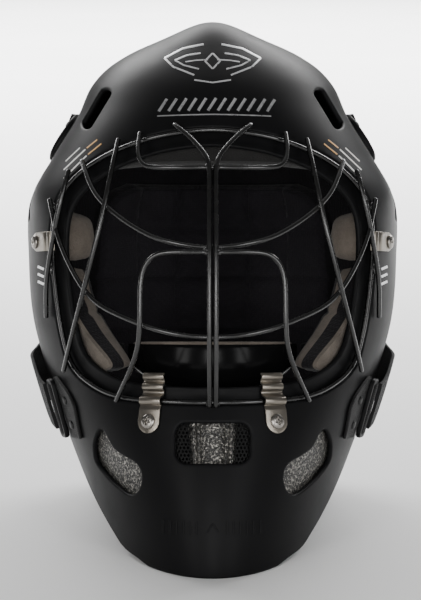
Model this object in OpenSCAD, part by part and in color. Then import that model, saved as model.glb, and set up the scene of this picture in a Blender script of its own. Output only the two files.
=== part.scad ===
// Goalie mask: a moulded front shell with a welded wire cage, a hinged back
// plate held by elastic straps, foam padding and a swinging chin cup.
// X is to the wearer's left as seen from the front, Y runs from the face to
// the nape and Z is up. The mask stands on its chin edge and on the lower
// edge of the back plate.

/* [Shell] */
// Overall width over the cheeks
mask_w = 254; // [248:1:260]
// Wall thickness of the moulded shell
shell_t = 3.6; // [3.4:0.1:3.8]
// How far the mask leans back when it stands on its chin edge, in degrees
lean = 10; // [9:0.5:11]
// Height of the low ridge along the crown
ridge_h = 13.5; // [8:0.5:15]
// Depth of the step around the face port
step_d = 3.4; // [3.2:0.1:3.5]

/* [Cage] */
// Diameter of the rim wire and the bars
wire_d = 3.2; // [3:0.1:3.4]
// How far the middle of the cage bows out ahead of the shell
bow = 24; // [20:1:28]

/* [Clips] */
// Width of the lower clips
clip_w = 15.2; // [14:0.2:16]
// Thickness of the clip steel
clip_t = 1.2; // [1:0.1:1.3]
// Diameter of the clip screws' heads
head_d = 9.5; // [8.5:0.5:10]

/* [Chin vent] */
// Width of the vent in the chin
vent_w = 48; // [44:1:50]
// Height of the vent in the chin
vent_h = 25; // [22:1:26]

/* [Padding] */
// Thickness of the foam pads
pad_t = 12; // [9:0.5:13]

/* [Straps] */
// Thickness of the elastic webbing
strap_t = 2.4; // [2:0.1:2.6]

/* [Hidden] */

// Sections of the shell from the chin to the crown: height, half width, front,
// rear, centre, squareness of the section and flare of the cheeks.
ST = [
    [-20, 70, -141,  92, 34, .02,  0],
    [  0, 76, -147, 100, 32, .02,  0],
    [ 30, 84, -147, 108, 30, .03,  0],
    [ 60, 92, -143, 116, 28, .04,  1],
    [ 90, 101, -136, 123, 25, .05, 3],
    [120, 108, -128, 129, 22, .05, 6],
    [160, 115.5, -122, 135, 18, .05, 9],
    [200, 117.5, -118, 139, 15, .05, 10],
    [240, 115.5, -112, 139, 14, .05, 11],
    [272, 102.5, -104, 133, 14, .04, 7.5],
    [298, 92.5, -92, 124, 14, .04, 1.5],
    [320, 84, -74, 110, 15, .04, 0],
    [336, 68, -52, 90, 16, .03, 0],
    [347, 43, -24, 62, 17, .02, 0],
    [351, 0, 18, 18, 18, 0, 0]];
NS = len(ST);
sx = mask_w / 254;

// Smooth curve through the sections; it closes over the crown.
function row(i) = i < 0 ? 2 * ST[0] - ST[1]
    : i < NS ? ST[i]
    : let(p = ST[NS - 2]) [p[0], -p[1], p[3], p[2], p[4], p[5], p[6]];
function cr(a, b, c, d, u) = 0.5 * (2 * b + (c - a) * u + (2 * a - 5 * b + 4 * c - d) * u * u + (3 * b - a - 3 * c + d) * u * u * u);
function sec(t) = let(i = max(0, min(NS - 2, floor(t)))) cr(row(i - 1), row(i), row(i + 1), row(i + 2), t - i);
function step01(x) = let(q = max(0, min(1, x))) q * q * (3 - 2 * q);

// Point of the outer surface at section t and angle a: 0 is the front, 90 the left side.
function raw(t, a) = let(
    r = sec(t), s = sin(a), c = cos(a),
    d = c > 0 ? r[4] - r[2] : r[3] - r[4],
    y = r[4] - d * c * (1 + r[5] * s * s),
    x = r[1] * s * (1 + r[5] * c * c) + r[6] * s * abs(s) * step01((34 - y) / 26),
    up = step01((r[0] - 250) / 90),
    z = r[0] + ridge_h * exp(-(x / 31) * (x / 31)) * up * step01((y + 75) / 75))
    [x * sx, y, z];
function normal(t, a) = t > NS - 1.03 ? [0, 0, 1] : let(
    u = raw(t + 0.02, a) - raw(t - 0.02, a),
    v = raw(t, a + 0.3) - raw(t, a - 0.3),
    n = cross(v, u)) n / norm(n);
// The same point moved outwards by d.
function surf(t, a, d) = raw(t, a) + d * normal(t, a);
// Section number at a height.
ZT = [for (i = [0:NS - 1]) [ST[i][0], i]];
function tz1(z, t, k) = k == 0 ? t : let(
    e = z - sec(t)[0], g = (sec(t + 0.01)[0] - sec(t - 0.01)[0]) / 0.02)
    tz1(z, max(0, min(NS - 1.05, t + e / max(2, g))), k - 1);
function tz(z) = tz1(z, lookup(z, ZT), 3);
function at(z, a, d) = surf(tz(z), a, d);

// Section and angle at which the surface is seen from the front at (x, z).
function face1(x, z, t, a, k) = k == 0 ? [t, a] : let(
    p = raw(t, a), pt = raw(t + 0.01, a) - p, pa = raw(t, a + 0.5) - p,
    ex = x - p[0], ez = z - p[2],
    det = pt[0] * pa[2] - pa[0] * pt[2],
    du = (ex * pa[2] - pa[0] * ez) / det, dv = (pt[0] * ez - pt[2] * ex) / det)
    face1(x, z, t + max(-0.5, min(0.5, 0.01 * du)), max(-96, min(96, a + max(-12, min(12, 0.5 * dv)))), k - 1);
function face(x, z) = let(t = lookup(z, ZT), r = sec(t))
    face1(x, z, t, asin(max(-0.96, min(0.96, x / sx / (r[1] + r[6])))), 8);
function onface(x, z, d) = let(q = face(x, z)) surf(q[0], q[1], d);

// ---- general solids ----
// Solid between two grids of points, outer and inner.
module slab(o, i) {
    n = len(o); m = len(o[0]); k = n * m;
    polyhedron([each [for (r = o) each r], each [for (r = i) each r]], [
        for (u = [0:n - 2], v = [0:m - 2]) let(a = u * m + v, b = a + 1, c = a + m, d = c + 1)
            each [[a, c, b], [b, c, d], [k + a, k + b, k + c], [k + b, k + d, k + c]],
        for (u = [0:n - 2]) let(a = u * m, c = a + m, e = a + m - 1, f = c + m - 1)
            each [[a, k + a, c], [c, k + a, k + c], [e, f, k + e], [f, k + f, k + e]],
        for (v = [0:m - 2]) let(a = v, b = v + 1, e = (n - 1) * m + v, f = e + 1)
            each [[a, b, k + a], [b, k + b, k + a], [e, k + e, f], [f, k + e, k + f]]]);
}
// Solid through rings of points, with flat ends or closed on itself.
module skin(r, loop = false) {
    n = len(r); m = len(r[0]);
    polyhedron([for (q = r) each q], [
        for (i = [0:n - (loop ? 1 : 2)], j = [0:m - 1]) let(
            a = i * m + j, b = i * m + (j + 1) % m, c = ((i + 1) % n) * m + j, d = ((i + 1) % n) * m + (j + 1) % m)
            each [[a, d, b], [a, c, d]],
        if (!loop) [for (j = [0:m - 1]) j],
        if (!loop) [for (j = [m - 1:-1:0]) (n - 1) * m + j]]);
}
// Points of a smooth curve through p, k pieces to each span.
function smooth(p, k, loop = false) = let(n = len(p)) [
    for (i = [0:n - (loop ? 1 : 2)], j = [0:k - 1]) let(
        a = loop ? p[(i + n - 1) % n] : i == 0 ? 2 * p[0] - p[1] : p[i - 1],
        b = p[i], c = p[(i + 1) % n],
        d = loop ? p[(i + 2) % n] : i == n - 2 ? 2 * p[n - 1] - p[n - 2] : p[(i + 2) % n])
        cr(a, b, c, d, j / k),
    if (!loop) p[n - 1]];
function unit(v) = v / norm(v);
module tube(p, d, sides = 8, loop = false) {
    n = len(p);
    skin([for (i = [0:n - 1]) let(
        f = unit(p[loop ? (i + 1) % n : min(n - 1, i + 1)] - p[loop ? (i + n - 1) % n : max(0, i - 1)]),
        u = unit(cross([0.06, 1, 0.09], f)), v = cross(f, u))
        [for (j = [0:sides - 1]) p[i] + d / 2 * (cos(360 * j / sides + 22.5) * u + sin(360 * j / sides + 22.5) * v)]], loop);
}
// Closed egg with the outer surface moved by d.
EA = 56;
module egg(d) {
    ts = [for (i = [0:26]) i < 3 ? i * 0.7 : i < 22 ? 2 + (i - 3) * 0.52 : 11.9 + (i - 22) * 0.45];
    m = EA; n = len(ts);
    polyhedron([for (t = ts, j = [0:m - 1]) surf(t, j * 360 / m, d),
        [0, 34, -20], [0, 18, raw(NS - 1, 0)[2] + d]], [
        for (i = [0:n - 2], j = [0:m - 1]) let(a = i * m + j, b = i * m + (j + 1) % m, c = a + m, e = b + m)
            each [[a, c, b], [b, c, e]],
        for (j = [0:m - 1]) each [[j, (j + 1) % m, n * m], [(n - 1) * m + (j + 1) % m, (n - 1) * m + j, n * m + 1]]]);
}
// Plug that cuts a hole through the wall: l lists section and angle around the hole.
module plug(l, d1, d0, out, in) {
    m = len(l);
    polyhedron([for (q = l) surf(q[0], q[1], d0), for (q = l) surf(q[0], q[1], d1), in, out], [
        for (j = [0:m - 1]) let(k = (j + 1) % m) each [
            [j, k, m + k], [j, m + k, m + j], [k, j, 2 * m], [m + j, m + k, 2 * m + 1]]]);
}
// Prism across the mask with an outline given in Y and Z.
module side_cut(p) rotate([90, 0, 90]) linear_extrude(320, center = true) polygon(p);
module both() { children(); mirror([1, 0, 0]) children(); }
module flip(left) { if (left) mirror([1, 0, 0]) children(); else children(); }

// Ground line under the leaning mask: height at y.
ground = 24;
function zg(y) = ground + y * tan(lean);

// ---- outlines ----
// Rim of the face port, half, from the top to the bottom, in X and Z.
rim_half = [[0, 284], [24, 282], [48, 277], [74, 267], [94, 253], [105, 236], [108.5, 214],
    [107, 187], [102, 152], [94, 127], [78, 114], [60, 108], [33, 106]];
rim_xz = concat(rim_half, [[0, 105.5]], [for (i = [len(rim_half) - 1:-1:1]) [-rim_half[i][0], rim_half[i][1]]]);
function shrink(p, kx, kz) = [p[0] * kx, 196 + (p[1] - 196) * kz];
rim_at = [for (p = smooth(rim_xz, 3, true)) p];
outer_loop = [for (p = rim_at) face(p[0] * sx, p[1])];
wire_loop = [for (p = rim_at) let(q = shrink(p, .985, .978)) face(q[0] * sx, q[1])];
inner_loop = [for (p = rim_at) let(q = shrink(p, .91, .865)) face(q[0] * sx, q[1])];
band_loop = [for (p = rim_at) let(q = shrink(p, 1.025, 1.035)) face(q[0] * sx, q[1])];

// Rear and lower edge of the front shell, and the back plate's outline, in Y and Z.
shell_side = concat(
    [[-190, 400], [-190, zg(-190)], [-121, zg(-121)]],
    smooth([[-112, 6.5], [-93, 12], [-80, 20], [-62, 31], [-30, 50], [0, 69], [20, 82], [38, 98], [47, 118],
        [50, 150], [47, 200], [55, 250], [69, 300], [76, 335], [78, 365]], 2),
    [[78, 400]]);
plate_side = concat(
    [[170, 400], [62, 400]],
    smooth([[62, 365], [60, 335], [54, 300], [40, 250], [32, 200], [34, 150], [36, 128], [46, 106],
        [66, 84], [88, 62], [106, 48]], 2),
    [[112, zg(112)], [170, zg(170)]]);

// Boomerang vent beside the chin, and the upper and ear slots.
boomerang = [[73, 88], [76, 82], [77, 75], [75.5, 66], [68, 57.5], [60, 51.5], [53, 48], [48.5, 50.5],
    [46, 57], [46.5, 64], [50.5, 69], [58, 72.5], [65, 77], [70, 85.5]];
function slot(p, q, w, n = 5) = let(f = unit(q - p), g = [f[1], -f[0]]) concat(
    [for (i = [0:n]) p + w / 2 * (cos(180 * i / n) * g - sin(180 * i / n) * f)],
    [for (i = [0:n]) q + w / 2 * (-cos(180 * i / n) * g + sin(180 * i / n) * f)]);
function on_face(l) = [for (p = l) face(p[0] * sx, p[1])];
function on_side(l) = [for (p = l) [tz(p[1]), p[0]]];
ear_slots = [[[87, 153], [89, 176]], [[96, 157], [98, 180]], [[80, 228], [84, 246]]];
plate_slots = [[[136, 236], [150, 238]], [[134, 214], [152, 215]], [[132, 192], [152, 192]]];

// ---- shells ----
module front_shell() color([0.05, 0.05, 0.052]) resize([0, 0, 0]) union() {
    difference() {
        intersection() { egg(0); side_cut(shell_side); }
        difference() { egg(-shell_t); }
        plug(outer_loop, 12, -16, [0, -270, 195], [0, -40, 195]);
        // chin vent
        translate([0, -130, 82.3]) rotate([90, 0, 0]) translate([0, 0, -30]) linear_extrude(80)
            hull() for (x = [-1, 1], z = [-1, 1]) translate([x * (vent_w / 2 - 7.5), z * (vent_h / 2 - 7.5)]) circle(7.5, $fn = 24);
        both() {
            plug(on_face(boomerang), 8, -10, [86, -128, 68], [44, -70, 68]);
            plug(on_face(slot([72, 310], [84, 290], 7)), 8, -10, [90, -58, 304], [68, -30, 296]);
            for (s = ear_slots) let(c = (s[0] + s[1]) / 2)
                plug(on_side(slot(s[0], s[1], 5)), 8, -8, at(c[1], c[0], 9), at(c[1], c[0], -9));
            // holes for the tee nuts
            at_screw(40, 95) cylinder(r = 3.5, h = 30, center = true, $fn = 24);
            at_screw(117.5, 211) cylinder(r = 3.5, h = 30, center = true, $fn = 24);
        }
    }
    // stepped band that the cage's rim wire sits in
    difference() {
        intersection() {
            difference() { egg(-step_d); egg(-step_d - shell_t); }
            plug(band_loop, 12, -16, [0, -270, 195], [0, -40, 195]);
        }
        plug(inner_loop, 14, -18, [0, -270, 195], [0, -40, 195]);
    }
}

module back_plate() color([0.045, 0.045, 0.047]) resize([0, 0, 0]) difference() {
    intersection() { egg(6.4); side_cut(plate_side); }
    egg(3.2);
    both() for (s = plate_slots) let(c = (s[0] + s[1]) / 2)
        plug(on_side(slot(s[0], s[1], 7)), 14, -4, at(c[1], c[0], 16), at(c[1], c[0], -6));
    // slot that the sizing strap passes through at the nape
    plug(on_side([[170, 90], [190, 90], [190, 84], [170, 84]]), 14, -4, at(87, 180, 16), at(87, 180, -6));
}

// ---- padding ----
// Pad against the inside of the shell: rows list height, first and last angle
// and thickness; d is how far its outer face lies inside the shell's outer surface.
module pad(rows, d, k = 8) slab(
    [for (r = rows) [for (j = [0:k]) at(r[0], r[1] + (r[2] - r[1]) * j / k, -d)]],
    [for (r = rows) [for (j = [0:k]) let(u = 2 * j / k - 1)
        at(r[0], r[1] + (r[2] - r[1]) * j / k, -d - r[3] * (1 - 0.35 * u * u * u * u))]]);
PD = shell_t + 0.5;
module forehead_pad() color([0.2, 0.19, 0.18]) pad([[265, -44, 44, 5], [272, -50, 50, pad_t], [284, -54, 54, pad_t],
    [296, -54, 54, pad_t], [306, -50, 50, pad_t], [312, -44, 44, 6]], shell_t + step_d + 0.8, 12);
module crown_pad() color([0.06, 0.06, 0.06]) difference() {
    resize([0, 0, 0]) intersection() {
        difference() { egg(-PD); egg(-PD - 10); }
        translate([0, 12, 320]) rotate([0, 0, 90]) linear_extrude(80) hull() for (x = [-1, 1], y = [-1, 1]) translate([x * 30, y * 20]) circle(14, $fn = 20);
    }
}
module temple_pad(left) color([0.2, 0.19, 0.18]) flip(left) pad([[199, 63, 90, 22], [204, 60, 93, 30], [213, 59, 94, 32],
    [222, 60, 93, 31], [230, 63, 91, 27], [235, 68, 87, 18]], PD + 3.6);
module cheek_pad(left) color([0.2, 0.19, 0.18]) flip(left) pad([[125, 42, 75, 16], [131, 38, 79, 24], [150, 47, 80, 26],
    [172, 55, 80, 26], [186, 58, 80, 25], [193, 62, 78, 17]], PD + 3.6);
module jaw_pad(left) color([0.35, 0.34, 0.33]) flip(left) pad([[47, 34, 52, 4], [52, 30, 56, 8], [64, 27, 60, 9],
    [78, 30, 60, 9], [86, 37, 57, 9], [90, 42, 52, 4]], PD, 8);
module chin_pad() color([0.35, 0.34, 0.33]) pad([[62, -9, 9, 5], [66, -10, 10, 8], [82, -11, 11, 9], [98, -10, 10, 8], [102, -9, 9, 5]], PD + 2, 6);
module chin_vent_mesh() color([0.08, 0.08, 0.08]) pad([for (i = [0:4]) [65 + i * 8.6, -15.5, 15.5, 0.9]], PD, 10);
module nape_pad() color([0.06, 0.06, 0.06]) slab(
    [for (r = nape_rows) [for (j = [0:12]) at(r[0], 180 - r[1] + 2 * r[1] * j / 12, 2.2)]],
    [for (r = nape_rows) [for (j = [0:12]) let(u = j / 6 - 1)
        at(r[0], 180 - r[1] + 2 * r[1] * j / 12, 2.2 - r[2] * (1 - 0.3 * u * u * u * u))]]);
nape_rows = [[78, 34, 6], [84, 40, 14], [110, 46, 16], [140, 50, 17], [170, 50, 17], [200, 48, 17], [230, 46, 16], [250, 42, 14], [256, 36, 6]];

// ---- chin cup ----
// The cup is a crescent that holds the chin; its rings run from ear to ear.
snap_yz = [38, 150];
function cup_ring(f, prof) = let(rx = 57, ry = 46, cx = rx * sin(f), cy = -46 - ry * cos(f),
    k = 1 - 0.35 * pow(abs(sin(f)), 3))
    [for (p = prof) [cx * (1 - p[0] / 60), -46 + (cy + 46) * (1 - p[0] / 60), 143 - p[1] * k]];
cup_out = [[0, 0], [0, 14], [3, 24], [10, 32], [18, 36], [17, 33.5], [11, 29.5], [5.4, 22.5], [2.6, 13], [2.6, 0]];
cup_in = [[2.9, -2], [2.9, 13], [5.8, 22], [11.6, 28.6], [17.6, 32.6], [15, 26], [11, 18], [9, 8], [8.8, -2]];
module chin_cup() color([0.03, 0.03, 0.03]) skin([for (i = [0:20]) cup_ring(-80 + 8 * i, cup_out)]);
module chin_cup_foam() color([0.42, 0.4, 0.37]) skin([for (i = [0:20]) cup_ring(-78 + 7.8 * i, cup_in)]);
// Chin strap: flat webbing from the cup's wing back to the snap on the shell.
chin_path = [[59, -43, 135], [66, -36, 137], [76, -20, 141], [87, 0, 146], [97, 18, 149], [103, 30, 150], [104, 46, 150]];
module chin_strap(left) color([0.07, 0.07, 0.07]) flip(left) {
    p = smooth(chin_path, 2); n = len(p);
    skin([for (i = [0:n - 1]) let(f = unit(p[min(n - 1, i + 1)] - p[max(0, i - 1)]), g = unit(cross(f, [0, 0, 1])), w = [0, 0, 7.5])
        [p[i] - w - 0.8 * g, p[i] + w - 0.8 * g, p[i] + w + 0.8 * g, p[i] - w + 0.8 * g]]);
}
// Snap: a stud through the shell's wall with a cap on the strap's face.
module chin_strap_snaps() color([0.5, 0.5, 0.5]) both() translate([0, snap_yz[0], snap_yz[1]]) rotate([0, 90, 0])
    translate([0, 0, 100.1]) cylinder(r = 6, h = 2.2, $fn = 32);
module chin_snap_studs() color([0.5, 0.5, 0.5]) both() translate([0, snap_yz[0], snap_yz[1]]) rotate([0, 90, 0]) {
    translate([0, 0, 105.2]) cylinder(r = 5, h = 2.2, $fn = 32);
    translate([0, 0, 107.3]) cylinder(r = 2.5, h = 0.9, $fn = 32);
}

// ---- cage ----
// Centreline point of a bar at (x, z): level 0 is the rear layer of bars and 1 the front layer.
function cage_pt(x, z, l) = let(
    v = max(0, min(1, (z - 105) / 179)),
    b = bow * max(0, 1 - x * x / 12100) * pow(sin(180 * v), 0.8))
    onface(x * sx, z, wire_d - 0.9) - [0, b + l * (wire_d - 0.08) * min(1, b / 8), 0];
module bar(p, l, k = 3) color([0.07, 0.07, 0.07]) tube([for (q = smooth(p, k)) cage_pt(q[0], q[1], l)], wire_d);
module cage_rim_wire() color([0.07, 0.07, 0.07]) tube([for (q = wire_loop) surf(q[0], q[1], -0.9)], wire_d, 8, true);
module cage_center_bar(left) flip(left) bar([[24, 284], [16, 277], [8, 268], [3, 260], [2, 250], [2, 225], [2, 172], [2, 130], [2, 104.5]], 1, 2);
module cage_brow_loop() bar([[-46, 279], [-47, 268], [-45, 260], [-38, 256], [0, 255.5], [38, 256], [45, 260], [47, 268], [46, 279]], 0, 3);
module cage_diagonal_bar(left) flip(left) bar([[60, 275], [65, 248], [70, 223], [77, 195], [84, 168], [96, 126]], 1, 3);
module cage_outer_bar(left) flip(left) bar([[93, 256], [99, 232], [104, 208], [108, 184], [108.5, 161]], 1, 3);
module cage_upper_cross_bar() bar([[-84, 262], [-76, 243], [-66, 231], [-49, 218], [-30, 209], [0, 204.5], [30, 209], [49, 218], [66, 231], [76, 243], [84, 262]], 0, 2);
module cage_lower_cross_bar() bar([[-106, 238], [-99, 212], [-88, 189], [-76, 173], [-60, 163], [-30, 152], [0, 148.5], [30, 152], [60, 163], [76, 173], [88, 189], [99, 212], [106, 238]], 0, 2);
module cage_lower_arch(left) flip(left) bar([[5, 201.6], [28, 201.5], [37, 199], [42, 193], [44.5, 183], [45, 160], [46, 144], [50, 130], [60, 107.5]], 1, 2);

// ---- clips and screws ----
// Frame at a screw: Z along the wall's outward normal, Y up the wall towards the port.
module at_frame(p, n, up) {
    x = unit(cross(up, n)); y = cross(n, x);
    multmatrix([[x[0], y[0], n[0], p[0]], [x[1], y[1], n[1], p[1]], [x[2], y[2], n[2], p[2]], [0, 0, 0, 1]]) children();
}
module at_screw(x, z) {
    q = face(x * sx, z);
    at_frame(surf(q[0], q[1], 0), normal(q[0], q[1]), x > 90 ? [-0.5, -1, 0] : [0, 0, 1]) children();
}
// Bent steel strip: c is its centreline in Y and Z.
function left_of(c, i, t) = let(n = len(c), f = unit(c[min(n - 1, i + 1)] - c[max(0, i - 1)])) c[i] + t * [-f[1], f[0]];
module strip(c, w) rotate([90, 0, 90]) translate([0, 0, -w / 2]) linear_extrude(w)
    polygon([for (i = [0:len(c) - 1]) left_of(c, i, clip_t / 2), for (i = [len(c) - 1:-1:0]) left_of(c, i, -clip_t / 2)]);
lower_line = concat([[-7.6, 0.9], [7.5, 0.9]],
    [for (a = [160:-28:20]) [13.4, -1.3] + (wire_d / 2 + 1.25) * [cos(a), sin(a) * 1.3]],
    [[17.4, -2.1], [19.2, -2.4]],
    [for (a = [160:-35:20]) [22.6, -2.3] + 2.3 * [cos(a), sin(a)]],
    [[26, -2.2]], [for (a = [160:-35:20]) [29.2, -1.9] + 2 * [cos(a), sin(a)]]);
module lower_clip(left) color([0.62, 0.6, 0.57]) flip(left) at_screw(40, 95) difference() {
    intersection() {
        strip(lower_line, clip_w);
        translate([0, 0, -8]) union() {
            cylinder(d = clip_w, h = 20, $fn = 48);
            translate([-clip_w / 2, 0, 0]) cube([clip_w, 40, 20]);
        }
    }
    cylinder(r = 2.3, h = 20, center = true, $fn = 32);
}
side_line = concat([[-6, 0.9], [9, 0.9], [17, 0.5]],
    [for (a = [150:-26:-6]) [23, -2.9] + (wire_d / 2 + 1.25) * [cos(a), sin(a) * 1.15]]);
module side_clip(left) color([0.62, 0.6, 0.57]) flip(left) at_screw(117.5, 211) difference() {
    intersection() {
        strip(side_line, 12.8);
        translate([0, 0, -8]) union() {
            cylinder(d = 12.8, h = 20, $fn = 48);
            translate([-6.4, 0, 0]) cube([12.8, 40, 20]);
        }
    }
    cylinder(r = 2.3, h = 20, center = true, $fn = 32);
}
// Pan head screw with a cross recess.
module screw(top, length) difference() {
    union() {
        translate([0, 0, top]) rotate_extrude($fn = 48) polygon(concat([[0, 0], [head_d / 2, 0], [head_d / 2, 0.7]],
            [for (i = [1:5]) [head_d / 2 * cos(i * 18), 0.7 + 1.7 * sin(i * 18)]]));
        translate([0, 0, top - length]) cylinder(r = 2, h = length + 0.1, $fn = 32);
    }
    for (a = [0, 90]) rotate([0, 0, a + 20]) translate([-2.4, -0.45, top + 1.1]) cube([4.8, 0.9, 3]);
}
module tee_nut(d) difference() {
    union() {
        translate([0, 0, -d - 1.2]) cylinder(r = 7, h = 1.2, $fn = 48);
        translate([0, 0, -d - 0.1]) cylinder(r = 3.2, h = d, $fn = 32);
    }
    cylinder(r = 2.05, h = 40, center = true, $fn = 32);
}
module lower_clip_screws() color([0.66, 0.65, 0.62]) both() at_screw(40, 95) screw(1.52, 8);
module side_clip_screws() color([0.66, 0.65, 0.62]) both() at_screw(117.5, 211) screw(1.52, 8);
module lower_clip_tee_nuts() color([0.5, 0.5, 0.5]) both() at_screw(40, 95) tee_nut(shell_t + 0.7);
module side_clip_tee_nuts() color([0.5, 0.5, 0.5]) both() at_screw(117.5, 211) tee_nut(shell_t + 0.9);

// ---- straps ----
// Band of webbing round the mask: rows list angle, height of its middle, width
// and how far its inner face stands off the shell's outer surface.
module band(rows, k = 2, t = strap_t) slab(
    [for (r = smooth(rows, k)) [for (v = [1, 0, -1]) at(r[1] + v * r[2] / 2, r[0], r[3] + t)]],
    [for (r = smooth(rows, k)) [for (v = [1, 0, -1]) at(r[1] + v * r[2] / 2, r[0], r[3])]]);
module side_strap(left) color([0.07, 0.07, 0.07]) flip(left) band([[68, 103, 30, 7.1], [74, 107, 31, 7.2], [82, 115, 34, 6.4],
    [92, 124, 37, 6.6], [104, 131, 39, 7.2], [116, 135, 40, 7.2], [128, 137, 40, 7.1]]);
module rounded(w, h, r) {
    square([w - 2 * r, h], center = true);
    square([w, h - 2 * r], center = true);
    for (x = [-1, 1], y = [-1, 1]) translate([x * (w / 2 - r), y * (h / 2 - r)]) circle(r, $fn = 24);
}
// Rectangular loop: the tab holds its front bar and the strap its rear bar.
module side_strap_loop(left) color([0.04, 0.04, 0.04]) flip(left) at_frame(at(101, 66, 3.4), normal(tz(101), 66), [0, 0, 1])
    difference() {
        linear_extrude(3.2) rounded(17, 41, 3);
        translate([0, 0, -1]) linear_extrude(6) rounded(9, 33, 1.5);
    }
module loop_tab(left) color([0.07, 0.07, 0.07]) flip(left) slab(
    [for (r = tab_rows) [for (j = [0:3]) at(r[0], r[1] + (r[2] - r[1]) * j / 3, 2.8)]],
    [for (r = tab_rows) [for (j = [0:3]) at(r[0], r[1] + (r[2] - r[1]) * j / 3, 0.4)]]);
tab_rows = [[81, 57, 66], [86, 56.5, 66], [95, 55.5, 66], [102, 55, 66], [110, 57, 66], [117, 61, 66], [121, 64, 66]];
module loop_tab_rivets() color([0.3, 0.3, 0.3]) both() for (z = [90, 106])
    at_frame(at(z, 60, 2.9), normal(tz(z), 60), [0, 0, 1]) cylinder(r1 = 3, r2 = 2.2, h = 1, $fn = 24);

// Upper strap: anchored on the shell above the ear, and sewn to the back plate.
module upper_strap(left) color([0.07, 0.07, 0.07]) flip(left) band([[96, 285, 30, 5.4], [102, 286, 29, 8.4], [110, 287, 28, 10],
    [120, 287, 27, 9], [130, 286, 26, 7.2], [140, 284, 26, 7]]);
module upper_strap_anchors() color([0.04, 0.04, 0.04]) both() slab(
    [for (r = anchor_rows) [for (j = [0:5]) at(r[0], r[1] + (r[2] - r[1]) * j / 5, r[3] + 2.4)]],
    [for (r = anchor_rows) [for (j = [0:5]) at(r[0], r[1] + (r[2] - r[1]) * j / 5, 0.7)]]);
anchor_rows = [[268, 90, 98, 1], [274, 87, 100, 1.6], [284, 86, 101, 2], [294, 87, 100, 1.6], [301, 91, 98, 1]];
module upper_strap_rivets() color([0.3, 0.3, 0.3]) both() for (z = [276, 292])
    at_frame(at(z, 91, 4.6), normal(tz(z), 91), [0, 0, 1]) cylinder(r1 = 3, r2 = 2.2, h = 1, $fn = 24);

// Crown strap: over the gap between the shell and the back plate.
crown_rows = [[42, 0.9], [52, 3.4], [60, 7], [70, 8.2], [84, 7.8], [98, 7.2]];
function crown_pt(x, y, d) = let(q = top1(x, y, 13, 175, 12)) surf(q[0], q[1], d);
// Section and angle of the surface seen from above at (x, y).
function top1(x, y, t, a, k) = k == 0 ? [t, a] : let(
    p = raw(t, a), pt = raw(t + 0.01, a) - p, pa = raw(t, a + 0.5) - p,
    ex = x - p[0], ey = y - p[1], det = pt[0] * pa[1] - pa[0] * pt[1],
    du = (ex * pa[1] - pa[0] * ey) / det, dv = (pt[0] * ey - pt[1] * ex) / det)
    top1(x, y, max(9, min(NS - 1.2, t + max(-0.4, min(0.4, 0.01 * du)))), a + max(-15, min(15, 0.5 * dv)), k - 1);
module crown_strap() color([0.07, 0.07, 0.07]) slab(
    [for (r = smooth(crown_rows, 2)) [for (x = [-14:7:14]) crown_pt(x, r[0], r[1] + strap_t)]],
    [for (r = smooth(crown_rows, 2)) [for (x = [-14:7:14]) crown_pt(x, r[0], r[1])]]);
module crown_strap_rivets() color([0.3, 0.3, 0.3]) both() { q = top1(8, 88, 13, 175, 12);
    at_frame(surf(q[0], q[1], 8.2 + strap_t), normal(q[0], q[1]), [0, 1, 0]) cylinder(r1 = 3, r2 = 2.2, h = 1, $fn = 24); }

// ---- the mask leaning back on its chin edge ----
module place() translate([0, -20.6, -ground * cos(lean)]) rotate([-lean, 0, 0]) children();

place() front_shell();
place() back_plate();
place() forehead_pad();
place() crown_pad();
place() temple_pad(true);  // temple_pad_left
place() temple_pad(false);  // temple_pad_right
place() cheek_pad(true);  // cheek_pad_left
place() cheek_pad(false);  // cheek_pad_right
place() jaw_pad(true);  // jaw_pad_left
place() jaw_pad(false);  // jaw_pad_right
place() chin_pad();
place() chin_vent_mesh();
place() nape_pad();
place() chin_cup();
place() chin_cup_foam();
place() chin_strap(true);  // chin_strap_left
place() chin_strap(false);  // chin_strap_right
place() chin_strap_snaps();
place() chin_snap_studs();
place() cage_rim_wire();
place() cage_center_bar(true);  // cage_center_bar_left
place() cage_center_bar(false);  // cage_center_bar_right
place() cage_brow_loop();
place() cage_diagonal_bar(true);  // cage_diagonal_bar_left
place() cage_diagonal_bar(false);  // cage_diagonal_bar_right
place() cage_outer_bar(true);  // cage_outer_bar_left
place() cage_outer_bar(false);  // cage_outer_bar_right
place() cage_upper_cross_bar();
place() cage_lower_cross_bar();
place() cage_lower_arch(true);  // cage_lower_arch_left
place() cage_lower_arch(false);  // cage_lower_arch_right
place() lower_clip(true);  // lower_clip_left
place() lower_clip(false);  // lower_clip_right
place() lower_clip_screws();
place() lower_clip_tee_nuts();
place() side_clip(true);  // side_clip_left
place() side_clip(false);  // side_clip_right
place() side_clip_screws();
place() side_clip_tee_nuts();
place() side_strap(true);  // side_strap_left
place() side_strap(false);  // side_strap_right
place() side_strap_loop(true);  // side_strap_loop_left
place() side_strap_loop(false);  // side_strap_loop_right
place() loop_tab(true);  // loop_tab_left
place() loop_tab(false);  // loop_tab_right
place() loop_tab_rivets();
place() upper_strap(true);  // upper_strap_left
place() upper_strap(false);  // upper_strap_right
place() upper_strap_anchors();
place() upper_strap_rivets();
place() crown_strap();
place() crown_strap_rivets();
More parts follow.
